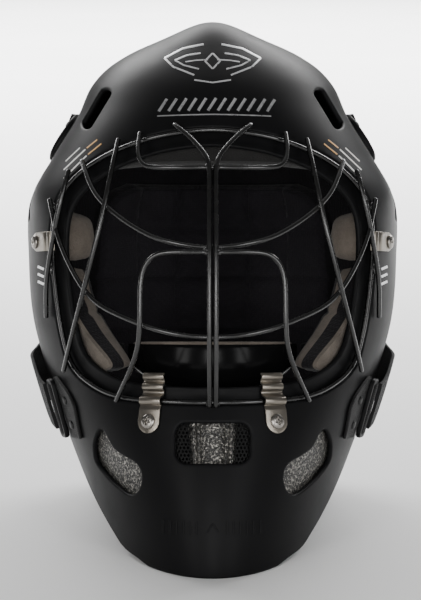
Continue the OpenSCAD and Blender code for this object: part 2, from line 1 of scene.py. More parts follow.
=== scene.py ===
import math
import bpy
import bmesh
import numpy as np
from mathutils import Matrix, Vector

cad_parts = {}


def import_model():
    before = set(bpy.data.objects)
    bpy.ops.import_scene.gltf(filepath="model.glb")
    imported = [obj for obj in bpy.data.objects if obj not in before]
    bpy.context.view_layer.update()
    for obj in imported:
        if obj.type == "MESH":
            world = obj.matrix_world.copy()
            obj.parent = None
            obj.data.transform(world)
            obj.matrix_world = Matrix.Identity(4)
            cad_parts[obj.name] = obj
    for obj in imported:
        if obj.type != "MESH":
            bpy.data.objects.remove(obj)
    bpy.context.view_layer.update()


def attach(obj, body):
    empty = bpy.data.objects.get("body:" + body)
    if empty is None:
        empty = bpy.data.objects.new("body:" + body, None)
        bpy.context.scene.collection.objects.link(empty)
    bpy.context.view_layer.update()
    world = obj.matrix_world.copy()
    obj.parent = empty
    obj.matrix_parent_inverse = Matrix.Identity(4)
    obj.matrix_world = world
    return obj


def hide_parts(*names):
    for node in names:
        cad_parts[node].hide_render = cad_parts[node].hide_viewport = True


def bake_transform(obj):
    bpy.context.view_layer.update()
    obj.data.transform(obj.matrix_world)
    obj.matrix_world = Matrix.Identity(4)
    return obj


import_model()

# ------------------------------------------------------------------ surface
ST = np.array([
    [-20, 70, -141, 92, 34, .02, 0], [0, 76, -147, 100, 32, .02, 0], [30, 84, -147, 108, 30, .03, 0],
    [60, 92, -143, 116, 28, .04, 1], [90, 101, -136, 123, 25, .05, 3], [120, 108, -128, 129, 22, .05, 6],
    [160, 115.5, -122, 135, 18, .05, 9], [200, 117.5, -118, 139, 15, .05, 10], [240, 115.5, -112, 139, 14, .05, 11],
    [272, 102.5, -104, 133, 14, .04, 7.5], [298, 92.5, -92, 124, 14, .04, 1.5], [320, 84, -74, 110, 15, .04, 0],
    [336, 68, -52, 90, 16, .03, 0], [347, 43, -24, 62, 17, .02, 0], [351, 0, 18, 18, 18, 0, 0]], float)
NS = len(ST)
_e = ST[NS - 2]
ROWS = np.vstack([2 * ST[0] - ST[1], ST, [_e[0], -_e[1], _e[3], _e[2], _e[4], _e[5], _e[6]]])
LEAN, GROUND, SHIFT = 10.0, 24.0, -20.6
CL, SL = math.cos(math.radians(LEAN)), math.sin(math.radians(LEAN))


def crom(a, b, c, d, u):
    return 0.5 * (2 * b + (c - a) * u + (2 * a - 5 * b + 4 * c - d) * u * u + (3 * b - a - 3 * c + d) * u ** 3)


def sec(t):
    i = np.clip(np.floor(t).astype(int), 0, NS - 2)
    u = (t - i)[..., None]
    return crom(ROWS[i], ROWS[i + 1], ROWS[i + 2], ROWS[i + 3], u)


def st01(x):
    q = np.clip(x, 0, 1)
    return q * q * (3 - 2 * q)


def raw(t, a):
    t, a = np.broadcast_arrays(np.asarray(t, float), np.asarray(a, float))
    r = sec(t)
    s, c = np.sin(np.radians(a)), np.cos(np.radians(a))
    d = np.where(c > 0, r[..., 4] - r[..., 2], r[..., 3] - r[..., 4])
    y = r[..., 4] - d * c * (1 + r[..., 5] * s * s)
    x = r[..., 1] * s * (1 + r[..., 5] * c * c) + r[..., 6] * s * np.abs(s) * st01((34 - y) / 26)
    z = r[..., 0] + 13.5 * np.exp(-(x / 31) ** 2) * st01((r[..., 0] - 250) / 90) * st01((y + 75) / 75)
    return np.stack([x, y, z], -1)


def normal(t, a):
    t, a = np.broadcast_arrays(np.asarray(t, float), np.asarray(a, float))
    tc = np.minimum(t, NS - 1.03)
    n = np.cross(raw(tc, a + .3) - raw(tc, a - .3), raw(tc + .02, a) - raw(tc - .02, a))
    n /= np.maximum(np.linalg.norm(n, axis=-1), 1e-9)[..., None]
    w = st01((t - (NS - 1.35)) / .33)[..., None]
    n = n * (1 - w) + np.array([0, 0, 1.0]) * w
    return n / np.linalg.norm(n, axis=-1)[..., None]


def surf(t, a, d=0.0):
    return raw(t, a) + np.asarray(d, float)[..., None] * normal(t, a)


def tz(z):
    z = np.asarray(z, float)
    t = np.interp(z, ST[:, 0], np.arange(NS))
    for _ in range(4):
        e = z - sec(t)[..., 0]
        g = (sec(t + .01)[..., 0] - sec(t - .01)[..., 0]) / .02
        t = np.clip(t + e / np.maximum(2, g), 0, NS - 1.05)
    return t


def at(z, a, d=0.0):
    return surf(tz(z), a, d)


def face(x, z):
    x, z = np.broadcast_arrays(np.asarray(x, float), np.asarray(z, float))
    t = np.interp(z, ST[:, 0], np.arange(NS))
    r = sec(t)
    a = np.degrees(np.arcsin(np.clip(x / (r[..., 1] + r[..., 6]), -.96, .96)))
    for _ in range(9):
        p = raw(t, a)
        pt, pa = raw(t + .01, a) - p, raw(t, a + .5) - p
        ex, ez = x - p[..., 0], z - p[..., 2]
        det = pt[..., 0] * pa[..., 2] - pa[..., 0] * pt[..., 2]
        det = np.where(np.abs(det) < 1e-9, 1e-9, det)
        du = (ex * pa[..., 2] - pa[..., 0] * ez) / det
        dv = (pt[..., 0] * ez - pt[..., 2] * ex) / det
        t = t + np.clip(.01 * du, -.5, .5)
        a = np.clip(a + np.clip(.5 * dv, -12, 12), -96, 96)
    return t, a


def onface(x, z, d=0.0):
    t, a = face(x, z)
    return surf(t, a, d)


def top(x, y):
    x, y = np.broadcast_arrays(np.asarray(x, float), np.asarray(y, float))
    t, a = np.full(x.shape, 13.0), np.full(x.shape, 175.0)
    for _ in range(14):
        p = raw(t, a)
        pt, pa = raw(t + .01, a) - p, raw(t, a + .5) - p
        ex, ey = x - p[..., 0], y - p[..., 1]
        det = pt[..., 0] * pa[..., 1] - pa[..., 0] * pt[..., 1]
        det = np.where(np.abs(det) < 1e-9, 1e-9, det)
        du = (ex * pa[..., 1] - pa[..., 0] * ey) / det
        dv = (pt[..., 0] * ey - pt[..., 1] * ex) / det
        t = np.clip(t + np.clip(.01 * du, -.4, .4), 9, NS - 1.2)
        a = a + np.clip(.5 * dv, -15, 15)
    return t, a


def world(p):
    """Head frame in millimetres to the row frame in metres."""
    p = np.asarray(p, float)
    return np.stack([p[..., 0], p[..., 1] * CL + p[..., 2] * SL + SHIFT,
                     -p[..., 1] * SL + p[..., 2] * CL - GROUND * CL], -1) / 1000.0


def zg(y):
    return GROUND + y * math.tan(math.radians(LEAN))


def smooth(p, k, loop=False):
    p = np.asarray(p, float)
    n = len(p)
    out = []
    for i in range(n if loop else n - 1):
        a = p[(i - 1) % n] if loop else (2 * p[0] - p[1] if i == 0 else p[i - 1])
        d = p[(i + 2) % n] if loop else (2 * p[-1] - p[-2] if i == n - 2 else p[i + 2])
        for j in range(k):
            out.append(crom(a, p[i], p[(i + 1) % n], d, j / k))
    if not loop:
        out.append(p[-1])
    return np.array(out)


# ---------------------------------------------------------------- materials
def new_mat(name):
    m = bpy.data.materials.new(name)
    m.use_nodes = True
    nt = m.node_tree
    for n in list(nt.nodes):
        nt.nodes.remove(n)
    out = nt.nodes.new("ShaderNodeOutputMaterial")
    b = nt.nodes.new("ShaderNodeBsdfPrincipled")
    nt.links.new(b.outputs[0], out.inputs[0])
    return m, nt, b


def coords(nt, kind="Object", scale=(1, 1, 1), rot=(0, 0, 0)):
    tc = nt.nodes.new("ShaderNodeTexCoord")
    mp = nt.nodes.new("ShaderNodeMapping")
    mp.inputs["Scale"].default_value = scale
    mp.inputs["Rotation"].default_value = rot
    nt.links.new(tc.outputs[kind], mp.inputs["Vector"])
    return mp.outputs["Vector"]


def noise(nt, vec, scale, detail=4, rough=.55, dist=0.0):
    n = nt.nodes.new("ShaderNodeTexNoise")
    n.inputs["Scale"].default_value = scale
    n.inputs["Detail"].default_value = detail
    n.inputs["Roughness"].default_value = rough
    n.inputs["Distortion"].default_value = dist
    nt.links.new(vec, n.inputs["Vector"])
    return n.outputs["Fac"]


def ramp(nt, fac, stops, mode="LINEAR"):
    r = nt.nodes.new("ShaderNodeValToRGB")
    r.color_ramp.interpolation = mode
    while len(r.color_ramp.elements) < len(stops):
        r.color_ramp.elements.new(0.5)
    for e, (p, c) in zip(r.color_ramp.elements, stops):
        e.position = p
        e.color = (*c, 1) if len(c) == 3 else c
    nt.links.new(fac, r.inputs["Fac"])
    return r.outputs["Color"]


def rng(nt, fac, lo, hi, a=0.0, b=1.0):
    r = nt.nodes.new("ShaderNodeMapRange")
    r.inputs["From Min"].default_value = a
    r.inputs["From Max"].default_value = b
    r.inputs["To Min"].default_value = lo
    r.inputs["To Max"].default_value = hi
    nt.links.new(fac, r.inputs["Value"])
    return r.outputs["Result"]


def math_node(nt, op, a, b):
    m = nt.nodes.new("ShaderNodeMath")
    m.operation = op
    for i, v in enumerate((a, b)):
        if v is None:
            continue
        if isinstance(v, (int, float)):
            m.inputs[i].default_value = v
        else:
            nt.links.new(v, m.inputs[i])
    return m.outputs[0]


def mixc(nt, fac, a, b):
    m = nt.nodes.new("ShaderNodeMix")
    m.data_type = "RGBA"
    for k, v in ((6, a), (7, b)):
        if isinstance(v, tuple):
            m.inputs[k].default_value = (*v, 1)
        else:
            nt.links.new(v, m.inputs[k])
    nt.links.new(fac, m.inputs[0])
    return m.outputs[2]


def bump(nt, b, h, strength, dist, prev=None):
    n = nt.nodes.new("ShaderNodeBump")
    n.inputs["Strength"].default_value = strength
    n.inputs["Distance"].default_value = dist
    nt.links.new(h, n.inputs["Height"])
    if prev is not None:
        nt.links.new(prev, n.inputs["Normal"])
    nt.links.new(n.outputs[0], b.inputs["Normal"])
    return n.outputs[0]


def mat_shell(name, base, rough, grain=.10):
    m, nt, b = new_mat(name)
    v = coords(nt)
    big, fine = noise(nt, v, 9, 5), noise(nt, v, 1500, 2, .5)
    mid = noise(nt, v, 60, 4)
    col = ramp(nt, big, [(.3, tuple(x * .86 for x in base)), (.7, tuple(x * 1.16 for x in base))])
    # rubbed edges and fine scuffs
    geo = nt.nodes.new("ShaderNodeNewGeometry")
    edge = ramp(nt, geo.outputs["Pointiness"], [(.53, (0, 0, 0)), (.60, (1, 1, 1))])
    wear = math_node(nt, "MULTIPLY", edge, rng(nt, mid, 0, .55, .35, .75))
    nt.links.new(mixc(nt, wear, col, tuple(min(1, x * 2.0) for x in base)), b.inputs["Base Color"])
    r = math_node(nt, "ADD", rng(nt, big, rough - .035, rough + .035, .3, .7), rng(nt, mid, -.02, .02, .3, .7))
    nt.links.new(r, b.inputs["Roughness"])
    b.inputs["Specular IOR Level"].default_value = .07
    n1 = bump(nt, b, fine, grain, .0002)
    bump(nt, b, big, .06, .002, n1)
    return m


def mat_wire(name):
    m, nt, b = new_mat(name)
    v = coords(nt)
    n1, n2 = noise(nt, v, 140, 4), noise(nt, v, 900, 2)
    nt.links.new(ramp(nt, n1, [(.35, (.0022, .0022, .0022)), (.75, (.005, .0049, .0047))]), b.inputs["Base Color"])
    nt.links.new(rng(nt, n1, .20, .30, .3, .7), b.inputs["Roughness"])
    b.inputs["Metallic"].default_value = 0.0
    b.inputs["Specular IOR Level"].default_value = .55
    b.inputs["Coat Weight"].default_value = .25
    b.inputs["Coat Roughness"].default_value = .14
    bump(nt, b, n2, .03, .0002)
    return m


def mat_steel(name, base=(.60, .57, .52), rough=.30, brush=(1, 1, 1)):
    m, nt, b = new_mat(name)
    v = coords(nt, "Object", brush)
    n1 = noise(nt, v, 260, 5, .7)
    v2 = coords(nt)
    n2 = noise(nt, v2, 55, 4)
    nt.links.new(ramp(nt, n2, [(.3, tuple(x * .78 for x in base)), (.75, tuple(min(1, x * 1.08) for x in base))]), b.inputs["Base Color"])
    b.inputs["Metallic"].default_value = 1.0
    r = math_node(nt, "ADD", rng(nt, n1, rough - .08, rough + .10, .3, .7), rng(nt, n2, -.04, .06, .3, .7))
    nt.links.new(r, b.inputs["Roughness"])
    bump(nt, b, n1, .16, .0002)
    return m


def mat_foam(name, base):
    m, nt, b = new_mat(name)
    v = coords(nt)
    n1, n2 = noise(nt, v, 45, 5), noise(nt, v, 420, 4, .7)
    vo = nt.nodes.new("ShaderNodeTexVoronoi")
    vo.inputs["Scale"].default_value = 900
    nt.links.new(v, vo.inputs["Vector"])
    c1 = ramp(nt, n1, [(.3, tuple(x * .72 for x in base)), (.7, tuple(x * 1.12 for x in base))])
    nt.links.new(mixc(nt, rng(nt, n2, 0, .5, .4, .75), c1, tuple(x * .5 for x in base)), b.inputs["Base Color"])
    b.inputs["Roughness"].default_value = .92
    b.inputs["Specular IOR Level"].default_value = .2
    b.inputs["Sheen Weight"].default_value = .10
    b.inputs["Sheen Roughness"].default_value = .6
    n3 = bump(nt, b, vo.outputs["Distance"], .5, .0006)
    bump(nt, b, n2, .35, .0008, n3)
    return m


def mat_knit(name, base, scale=520, sheen=.4):
    m, nt, b = new_mat(name)
    v = coords(nt)
    vo = nt.nodes.new("ShaderNodeTexVoronoi")
    vo.inputs["Scale"].default_value = scale
    vo.inputs["Randomness"].default_value = .35
    nt.links.new(v, vo.inputs["Vector"])
    n1, n2 = noise(nt, v, 30, 5), noise(nt, v, 700, 3, .7)
    c1 = ramp(nt, n1, [(.3, tuple(x * .7 for x in base)), (.72, tuple(x * 1.35 for x in base))])
    nt.links.new(mixc(nt, rng(nt, vo.outputs["Distance"], 0, .55, .1, .6), c1, tuple(x * .35 for x in base)), b.inputs["Base Color"])
    b.inputs["Roughness"].default_value = .9
    b.inputs["Specular IOR Level"].default_value = .25
    b.inputs["Sheen Weight"].default_value = sheen
    b.inputs["Sheen Roughness"].default_value = .45
    n3 = bump(nt, b, vo.outputs["Distance"], .55, .0007)
    bump(nt, b, n2, .25, .0006, n3)
    return m


def mat_web(name, base, ribs=1.0, across=2.6, sheen=.12):
    """Woven webbing: UV is in millimetres along and across the strap."""
    m, nt, b = new_mat(name)
    uv = coords(nt, "UV")
    w1 = nt.nodes.new("ShaderNodeTexWave")
    w1.wave_type, w1.bands_direction = "BANDS", "X"
    w1.inputs["Scale"].default_value = .314 * ribs
    nt.links.new(uv, w1.inputs["Vector"])
    w2 = nt.nodes.new("ShaderNodeTexWave")
    w2.wave_type, w2.bands_direction = "BANDS", "Y"
    w2.inputs["Scale"].default_value = .314 / across * 2
    w2.inputs["Distortion"].default_value = .4
    nt.links.new(uv, w2.inputs["Vector"])
    h = math_node(nt, "MULTIPLY", w1.outputs["Fac"], rng(nt, w2.outputs["Fac"], .35, 1))
    n1 = noise(nt, coords(nt), 70, 5)
    n2 = noise(nt, coords(nt), 1300, 3)
    c = ramp(nt, n1, [(.3, tuple(x * .75 for x in base)), (.72, tuple(x * 1.3 for x in base))])
    # the low parts of the weave are mixed towards a darker colour: painted shade in the valleys between the ribs
    nt.links.new(mixc(nt, rng(nt, h, .75, 0), c, tuple(x * .3 for x in base)), b.inputs["Base Color"])
    b.inputs["Roughness"].default_value = .82
    b.inputs["Specular IOR Level"].default_value = .3
    b.inputs["Sheen Weight"].default_value = sheen
    b.inputs["Sheen Roughness"].default_value = .5
    n3 = bump(nt, b, h, .7, .0006)
    bump(nt, b, n2, .25, .0004, n3)
    return m


def mat_glitter(name):
    """Dark grained vinyl with a metallic fleck."""
    m, nt, b = new_mat(name)
    v = coords(nt)
    vo = nt.nodes.new("ShaderNodeTexVoronoi")
    vo.inputs["Scale"].default_value = 820
    nt.links.new(v, vo.inputs["Vector"])
    n1, n2 = noise(nt, v, 650, 3, .7), noise(nt, v, 80, 4)
    fleck = ramp(nt, n1, [(.50, (0, 0, 0)), (.63, (1, 1, 1))])
    nt.links.new(mixc(nt, fleck, (.016, .0155, .0145), (.40, .385, .35)), b.inputs["Base Color"])
    nt.links.new(rng(nt, fleck, .1, .75), b.inputs["Metallic"])
    nt.links.new(rng(nt, n2, .28, .42, .3, .7), b.inputs["Roughness"])
    n3 = bump(nt, b, vo.outputs["Distance"], .8, .0008)
    bump(nt, b, n1, .6, .0006, n3)
    return m


def mat_ink(name, base, metallic=0.0, rough=.35):
    m, nt, b = new_mat(name)
    v = coords(nt)
    n1 = noise(nt, v, 240, 4)
    nt.links.new(ramp(nt, n1, [(.3, tuple(x * .82 for x in base)), (.7, tuple(min(1, x * 1.06) for x in base))]), b.inputs["Base Color"])
    b.inputs["Metallic"].default_value = metallic
    nt.links.new(rng(nt, n1, rough - .05, rough + .08, .3, .7), b.inputs["Roughness"])
    return m


M = {
    "shell": mat_shell("shell_plastic", (.0062, .0062, .0066), .43),
    "back": mat_shell("back_plate_plastic", (.0058, .0058, .0062), .48, .14),
    "liner": mat_shell("shell_inside", (.004, .004, .0042), .62, .2),
    "wire": mat_wire("cage_wire"),
    "clip": mat_steel("clip_steel", (.27, .245, .21), .33, (9, 1, 1)),
    "screw": mat_steel("screw_steel", (.33, .31, .285), .27),
    "nut": mat_steel("nut_steel", (.48, .48, .47), .38),
    "snap": mat_steel("snap_metal", (.50, .50, .50), .30),
    "foam": mat_foam("laminated_foam", (.150, .126, .104)),
    "foam_grey": mat_foam("foam_grey", (.012, .0115, .011)),
    "foam_blue": mat_foam("foam_pale_edge", (.10, .115, .14)),
    "knit": mat_knit("black_knit", (.0095, .0085, .0102), 520, .08),
    "knit2": mat_knit("grey_knit", (.017, .015, .0185), 640, .10),
    "web": mat_web("webbing", (.012, .0115, .012)),
    "elastic": mat_web("elastic_webbing", (.013, .0125, .0135), 1.3, 1.4),
    "vinyl": mat_glitter("metallic_vinyl"),
    "mesh": mat_shell("vent_mesh", (.006, .006, .006), .40, .1),
    "cup": mat_shell("cup_plastic", (.004, .004, .0042), .20, .03),
    "buckle": mat_shell("buckle_plastic", (.0065, .0065, .0068), .38, .12),
    "rivet": mat_steel("rivet_black", (.05, .05, .05), .38),
    "silver": mat_ink("silver_print", (.62, .62, .63), .85, .30),
    "white": mat_ink("white_print", (.74, .73, .70), 0, .4),
    "orange": mat_ink("orange_print", (.62, .34, .10), 0, .4),
}


# ------------------------------------------------------------- mesh helpers
def make(name, verts, faces, mats, body, nodes=(), midx=None, uv=None, sharp=None, flat=False, merge=0.0, metres=False):
    """verts in the head frame in millimetres (or row metres); mats is a name or list of names from M."""
    v = np.asarray(verts, float)
    me = bpy.data.meshes.new(name)
    me.from_pydata((v if metres else world(v)).tolist(), [], [tuple(int(i) for i in f) for f in faces])
    mats = [mats] if isinstance(mats, str) else list(mats)
    for k in mats:
        me.materials.append(M[k])
    if midx is not None:
        me.polygons.foreach_set("material_index", np.asarray(midx, dtype=np.int32))
    me.polygons.foreach_set("use_smooth", np.full(len(me.polygons), not flat))
    if uv is not None:
        u = me.uv_layers.new(name="UVMap")
        li = np.empty(len(me.loops), dtype=np.int32)
        me.loops.foreach_get("vertex_index", li)
        u.data.foreach_set("uv", np.asarray(uv, float)[li].ravel())
    me.update()
    if merge > 0:
        bm = bmesh.new()
        bm.from_mesh(me)
        bmesh.ops.remove_doubles(bm, verts=bm.verts, dist=merge / 1000.0)
        bmesh.ops.dissolve_degenerate(bm, dist=1e-6, edges=bm.edges)
        bm.to_mesh(me)
        bm.free()
    if sharp:
        me.set_sharp_from_angle(angle=math.radians(sharp))
    me.validate()
    o = bpy.data.objects.new(name, me)
    bpy.context.scene.collection.objects.link(o)
    if body:
        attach(o, body)
    for n in nodes:
        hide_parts(n)
    return o


def grid_faces(n, m, closed_n=False, closed_m=False, flip=False):
    f = []
    for i in range(n if closed_n else n - 1):
        for j in range(m if closed_m else m - 1):
            a, b = i * m + j, i * m + (j + 1) % m
            c, d = ((i + 1) % n) * m + j, ((i + 1) % n) * m + (j + 1) % m
            f.append((a, c, d, b) if flip else (a, b, d, c))
    return f


def frames(p, loop=False, ref=(0.06, 1, 0.09)):
    p = np.asarray(p, float)
    n = len(p)
    if loop:
        f = np.roll(p, -1, 0) - np.roll(p, 1, 0)
    else:
        f = np.empty_like(p)
        f[1:-1] = p[2:] - p[:-2]
        f[0], f[-1] = p[1] - p[0], p[-1] - p[-2]
    f /= np.linalg.norm(f, axis=1)[:, None]
    u = np.cross(np.array(ref, float), f)
    u /= np.linalg.norm(u, axis=1)[:, None]
    return f, u, np.cross(f, u)


def tube(p, r, sides=14, loop=False, cap=True):
    """Vertices and faces of a round wire; an open one gets slightly rounded ends."""
    p = np.asarray(p, float)
    rr = np.full(len(p), float(r))
    if not loop and cap:
        f, u, v = frames(p)
        p = np.vstack([p[0] - f[0] * .35 * r, p[0] - f[0] * .22 * r, p, p[-1] + f[-1] * .22 * r, p[-1] + f[-1] * .35 * r])
        rr = np.concatenate([[.62 * r, .90 * r], rr, [.90 * r, .62 * r]])
    f, u, v = frames(p, loop)
    th = np.linspace(0, 2 * np.pi, sides, endpoint=False)
    V = p[:, None, :] + rr[:, None, None] * (np.cos(th)[None, :, None] * u[:, None, :] + np.sin(th)[None, :, None] * v[:, None, :])
    n = len(p)
    F = grid_faces(n, sides, loop, True)
    if not loop:
        F += [tuple(range(sides))[::-1], tuple((n - 1) * sides + k for k in range(sides))]
    return V.reshape(-1, 3), F


def resample(p, step, loop=False):
    p = np.asarray(p, float)
    q = np.vstack([p, p[:1]]) if loop else p
    d = np.concatenate([[0], np.cumsum(np.linalg.norm(np.diff(q, axis=0), axis=1))])
    n = max(3, int(round(d[-1] / step)))
    s = np.linspace(0, d[-1], n + 1)
    r = np.stack([np.interp(s, d, q[:, k]) for k in range(p.shape[1])], 1)
    return r[:-1] if loop else r


def join(parts):
    V, F, k = [], [], 0
    for v, f in parts:
        V.append(v)
        F += [tuple(i + k for i in g) for g in f]
        k += len(v)
    return np.vstack(V), F


def mirror(v, f):
    w = np.array(v, float)
    w[:, 0] *= -1
    return w, [tuple(reversed(g)) for g in f]


# --------------------------------------------------- signed distance helpers
def sd_poly(px, py, poly):
    """Signed distance to a closed outline, positive inside."""
    P = np.asarray(poly, float)
    x, y = px.ravel(), py.ravel()
    best = np.full(x.shape, 1e18)
    inside = np.zeros(x.shape, bool)
    for (ax, ay), (bx, by) in zip(P, np.roll(P, -1, 0)):
        ex, ey = bx - ax, by - ay
        L = ex * ex + ey * ey
        if L < 1e-12:
            continue
        k = np.clip(((x - ax) * ex + (y - ay) * ey) / L, 0, 1)
        best = np.minimum(best, (x - ax - k * ex) ** 2 + (y - ay - k * ey) ** 2)
        c = (ay > y) != (by > y)
        if by != ay:
            xi = ax + (y - ay) * ex / (by - ay)
            inside ^= c & (x < xi)
    d = np.sqrt(best)
    return np.where(inside, d, -d).reshape(px.shape)


def sd_capsule(px, py, p, q, r):
    p, q = np.array(p, float), np.array(q, float)
    e = q - p
    k = np.clip(((px - p[0]) * e[0] + (py - p[1]) * e[1]) / (e @ e), 0, 1)
    return r - np.hypot(px - p[0] - k * e[0], py - p[1] - k * e[1])


def sd_round_rect(px, py, cx, cy, w, h, r):
    qx, qy = np.abs(px - cx) - (w / 2 - r), np.abs(py - cy) - (h / 2 - r)
    return r - (np.hypot(np.maximum(qx, 0), np.maximum(qy, 0)) + np.minimum(np.maximum(qx, qy), 0))


# --------------------------------------------------------------- outlines
rim_half = [[0, 284], [24, 282], [48, 277], [74, 267], [94, 253], [105, 236], [108.5, 214], [107, 187], [102, 152],
            [94, 127], [78, 114], [60, 108], [33, 106]]
rim_xz = np.array(rim_half + [[0, 105.5]] + [[-x, z] for x, z in rim_half[:0:-1]], float)
RIM = smooth(rim_xz, 3, True)


def shrink(p, kx, kz):
    return np.stack([p[:, 0] * kx, 196 + (p[:, 1] - 196) * kz], 1)


shell_side = np.vstack([[[-190, 400], [-190, zg(-190)], [-121, zg(-121)]],
                        smooth([[-112, 6.5], [-93, 12], [-80, 20], [-62, 31], [-30, 50], [0, 69], [20, 82], [38, 98], [47, 118],
                                [50, 150], [47, 200], [55, 250], [69, 300], [76, 335], [78, 365]], 6), [[78, 400]]])
plate_side = np.vstack([[[170, 400], [62, 400]],
                        smooth([[62, 365], [60, 335], [54, 300], [40, 250], [32, 200], [34, 150], [36, 128], [46, 106],
                                [66, 84], [88, 62], [106, 48]], 6), [[112, zg(112)], [170, zg(170)]]])
boomerang = smooth([[73, 88], [76, 82], [77, 75], [75.5, 66], [68, 57.5], [60, 51.5], [53, 48], [48.5, 50.5],
                    [46, 57], [46.5, 64], [50.5, 69], [58, 72.5], [65, 77], [70, 85.5]], 4, True)
ear_slots = [((87, 153), (89, 176), 2.5), ((96, 157), (98, 180), 2.5), ((80, 228), (84, 246), 2.5)]
plate_slots = [((136, 236), (150, 238), 3.5), ((134, 214), (152, 215), 3.5), ((132, 192), (152, 192), 3.5)]


# ------------------------------------------------------------ shell building
def clip(P, T, fun):
    """Keeps the triangles where fun(params) >= 0 and cuts those it crosses."""
    F = fun(P)
    F = np.where(np.abs(F) < 1e-7, 1e-7, F)
    s = F > 0
    cnt = s[T].sum(1)
    keep = [T[cnt == 3]]
    mixed = T[(cnt == 1) | (cnt == 2)]
    N = len(P)
    E = {}
    newP = []

    def cut(i, j):
        k = (i, j) if i < j else (j, i)
        if k not in E:
            E[k] = N + len(newP)
            newP.append(k)
        return E[k]
    out = []
    for t in mixed:
        ss = [bool(s[i]) for i in t]
        if sum(ss) == 1:
            k = ss.index(True)
            a, b, c = t[k], t[(k + 1) % 3], t[(k + 2) % 3]
            out.append((a, cut(a, b), cut(a, c)))
        else:
            k = ss.index(False)
            a, b, c = t[k], t[(k + 1) % 3], t[(k + 2) % 3]
            p, q = cut(a, b), cut(c, a)
            out.append((p, b, c))
            out.append((p, c, q))
    if newP:
        K = np.array(newP)
        lo, hi = P[K[:, 0]].copy(), P[K[:, 1]].copy()
        fl, fh = F[K[:, 0]].copy(), F[K[:, 1]].copy()
        for _ in range(6):
            lam = np.clip(fl / (fl - fh), .02, .98)
            mid = lo + (hi - lo) * lam[:, None]
            fm = fun(mid)
            left = np.sign(fm) == np.sign(fl)
            lo[left], fl[left] = mid[left], fm[left]
            hi[~left], fh[~left] = mid[~left], fm[~left]
        lam = np.clip(fl / np.where(fl == fh, 1e-12, fl - fh), 0, 1)
        P = np.vstack([P, lo + (hi - lo) * lam[:, None]])
    T2 = np.vstack(keep + ([np.array(out)] if out else []))
    used = np.unique(T2)
    mp = np.full(len(P), -1)
    mp[used] = np.arange(len(used))
    return P[used], mp[T2]


def weld_points(X, T, tol=1e-4):
    key = np.round(X / tol).astype(np.int64)
    _, first, inv = np.unique(key, axis=0, return_index=True, return_inverse=True)
    inv = inv.ravel()
    T = inv[T]
    good = (T[:, 0] != T[:, 1]) & (T[:, 1] != T[:, 2]) & (T[:, 0] != T[:, 2])
    return first, T[good]


def shell_mesh(ts, as_, fun, d_out, th, r=1.4, extra=None):
    """Wall of thickness th under the surface moved out by d_out, kept where fun >= 0, with rounded edges."""
    n, m = len(ts), len(as_)
    A, B = np.meshgrid(ts, as_, indexing="ij")
    P = np.stack([A.ravel(), B.ravel()], 1)
    i, j = np.meshgrid(np.arange(n - 1), np.arange(m - 1), indexing="ij")
    a = (i * m + j).ravel()
    T = np.vstack([np.stack([a, a + 1, a + m + 1], 1), np.stack([a, a + m + 1, a + m], 1)])
    P, T = clip(P, T, fun)
    dd = d_out + (extra(P) if extra else 0)
    X = raw(P[:, 0], P[:, 1])
    Nn = normal(P[:, 0], P[:, 1])
    O = X + np.broadcast_to(np.asarray(dd, float), len(X))[:, None] * Nn
    first, T = weld_points(O, T)
    P, O, Nn = P[first], O[first], Nn[first]
    # boundary edges, oriented as in their triangle
    e = np.vstack([T[:, [0, 1]], T[:, [1, 2]], T[:, [2, 0]]])
    key = e.min(1).astype(np.int64) * (len(P) + 1) + e.max(1)
    _, idx, cnt = np.unique(key, return_index=True, return_counts=True)
    be = e[idx[cnt == 1]]
    bv = np.unique(be)
    # direction out of the wall, along the surface, from the gradient of fun
    pb = P[bv]
    h = .02
    gt = (fun(pb + [h, 0]) - fun(pb - [h, 0])) / (2 * h)
    ga = (fun(pb + [0, .3]) - fun(pb - [0, .3])) / .6
    xt = (raw(pb[:, 0] + h, pb[:, 1]) - raw(pb[:, 0] - h, pb[:, 1])) / (2 * h)
    xa = (raw(pb[:, 0], pb[:, 1] + .3) - raw(pb[:, 0], pb[:, 1] - .3)) / .6
    g11, g12, g22 = (xt * xt).sum(1), (xt * xa).sum(1), (xa * xa).sum(1)
    det = np.maximum(g11 * g22 - g12 * g12, 1e-9)
    c = -(((g22 * gt - g12 * ga) / det)[:, None] * xt + ((g11 * ga - g12 * gt) / det)[:, None] * xa)
    c /= np.maximum(np.linalg.norm(c, axis=1), 1e-9)[:, None]
    nb = Nn[bv]
    r = min(r, th / 2)
    prof = [(r * math.sin(q), r * (1 - math.cos(q))) for q in np.radians([22, 45, 67, 90])]
    prof += [(r, th / 2)] if th > 2 * r + .2 else []
    prof += [(r * math.sin(q), th - r * (1 - math.cos(q))) for q in np.radians([90, 67, 45, 22])]
    V = [O]
    rows = [bv]
    k = len(O)
    for u, w in prof:
        V.append(O[bv] + u * c - w * nb)
        rows.append(np.arange(k, k + len(bv)))
        k += len(bv)
    V.append(O - th * Nn)
    inner0 = k
    rows.append(bv + inner0)
    pos = np.full(len(O), -1)
    pos[bv] = np.arange(len(bv))
    F = [tuple(t) for t in T]
    mi = [0] * len(F)
    F += [tuple(t[::-1] + inner0) for t in T]
    mi += [1] * len(T)
    bi = pos[be]
    for q in range(len(rows) - 1):
        r0, r1 = rows[q], rows[q + 1]
        F += [(int(r0[v]), int(r0[u]), int(r1[u]), int(r1[v])) for u, v in bi]
        mi += [0] * len(bi)
    return np.vstack(V), F, mi


def spaced(cuts):
    out = []
    for lo, hi, step in cuts:
        n = max(1, int(round((hi - lo) / step)))
        out += list(np.linspace(lo, hi, n, endpoint=False))
    return np.array(out + [cuts[-1][1]])


R_EDGE = 1.5


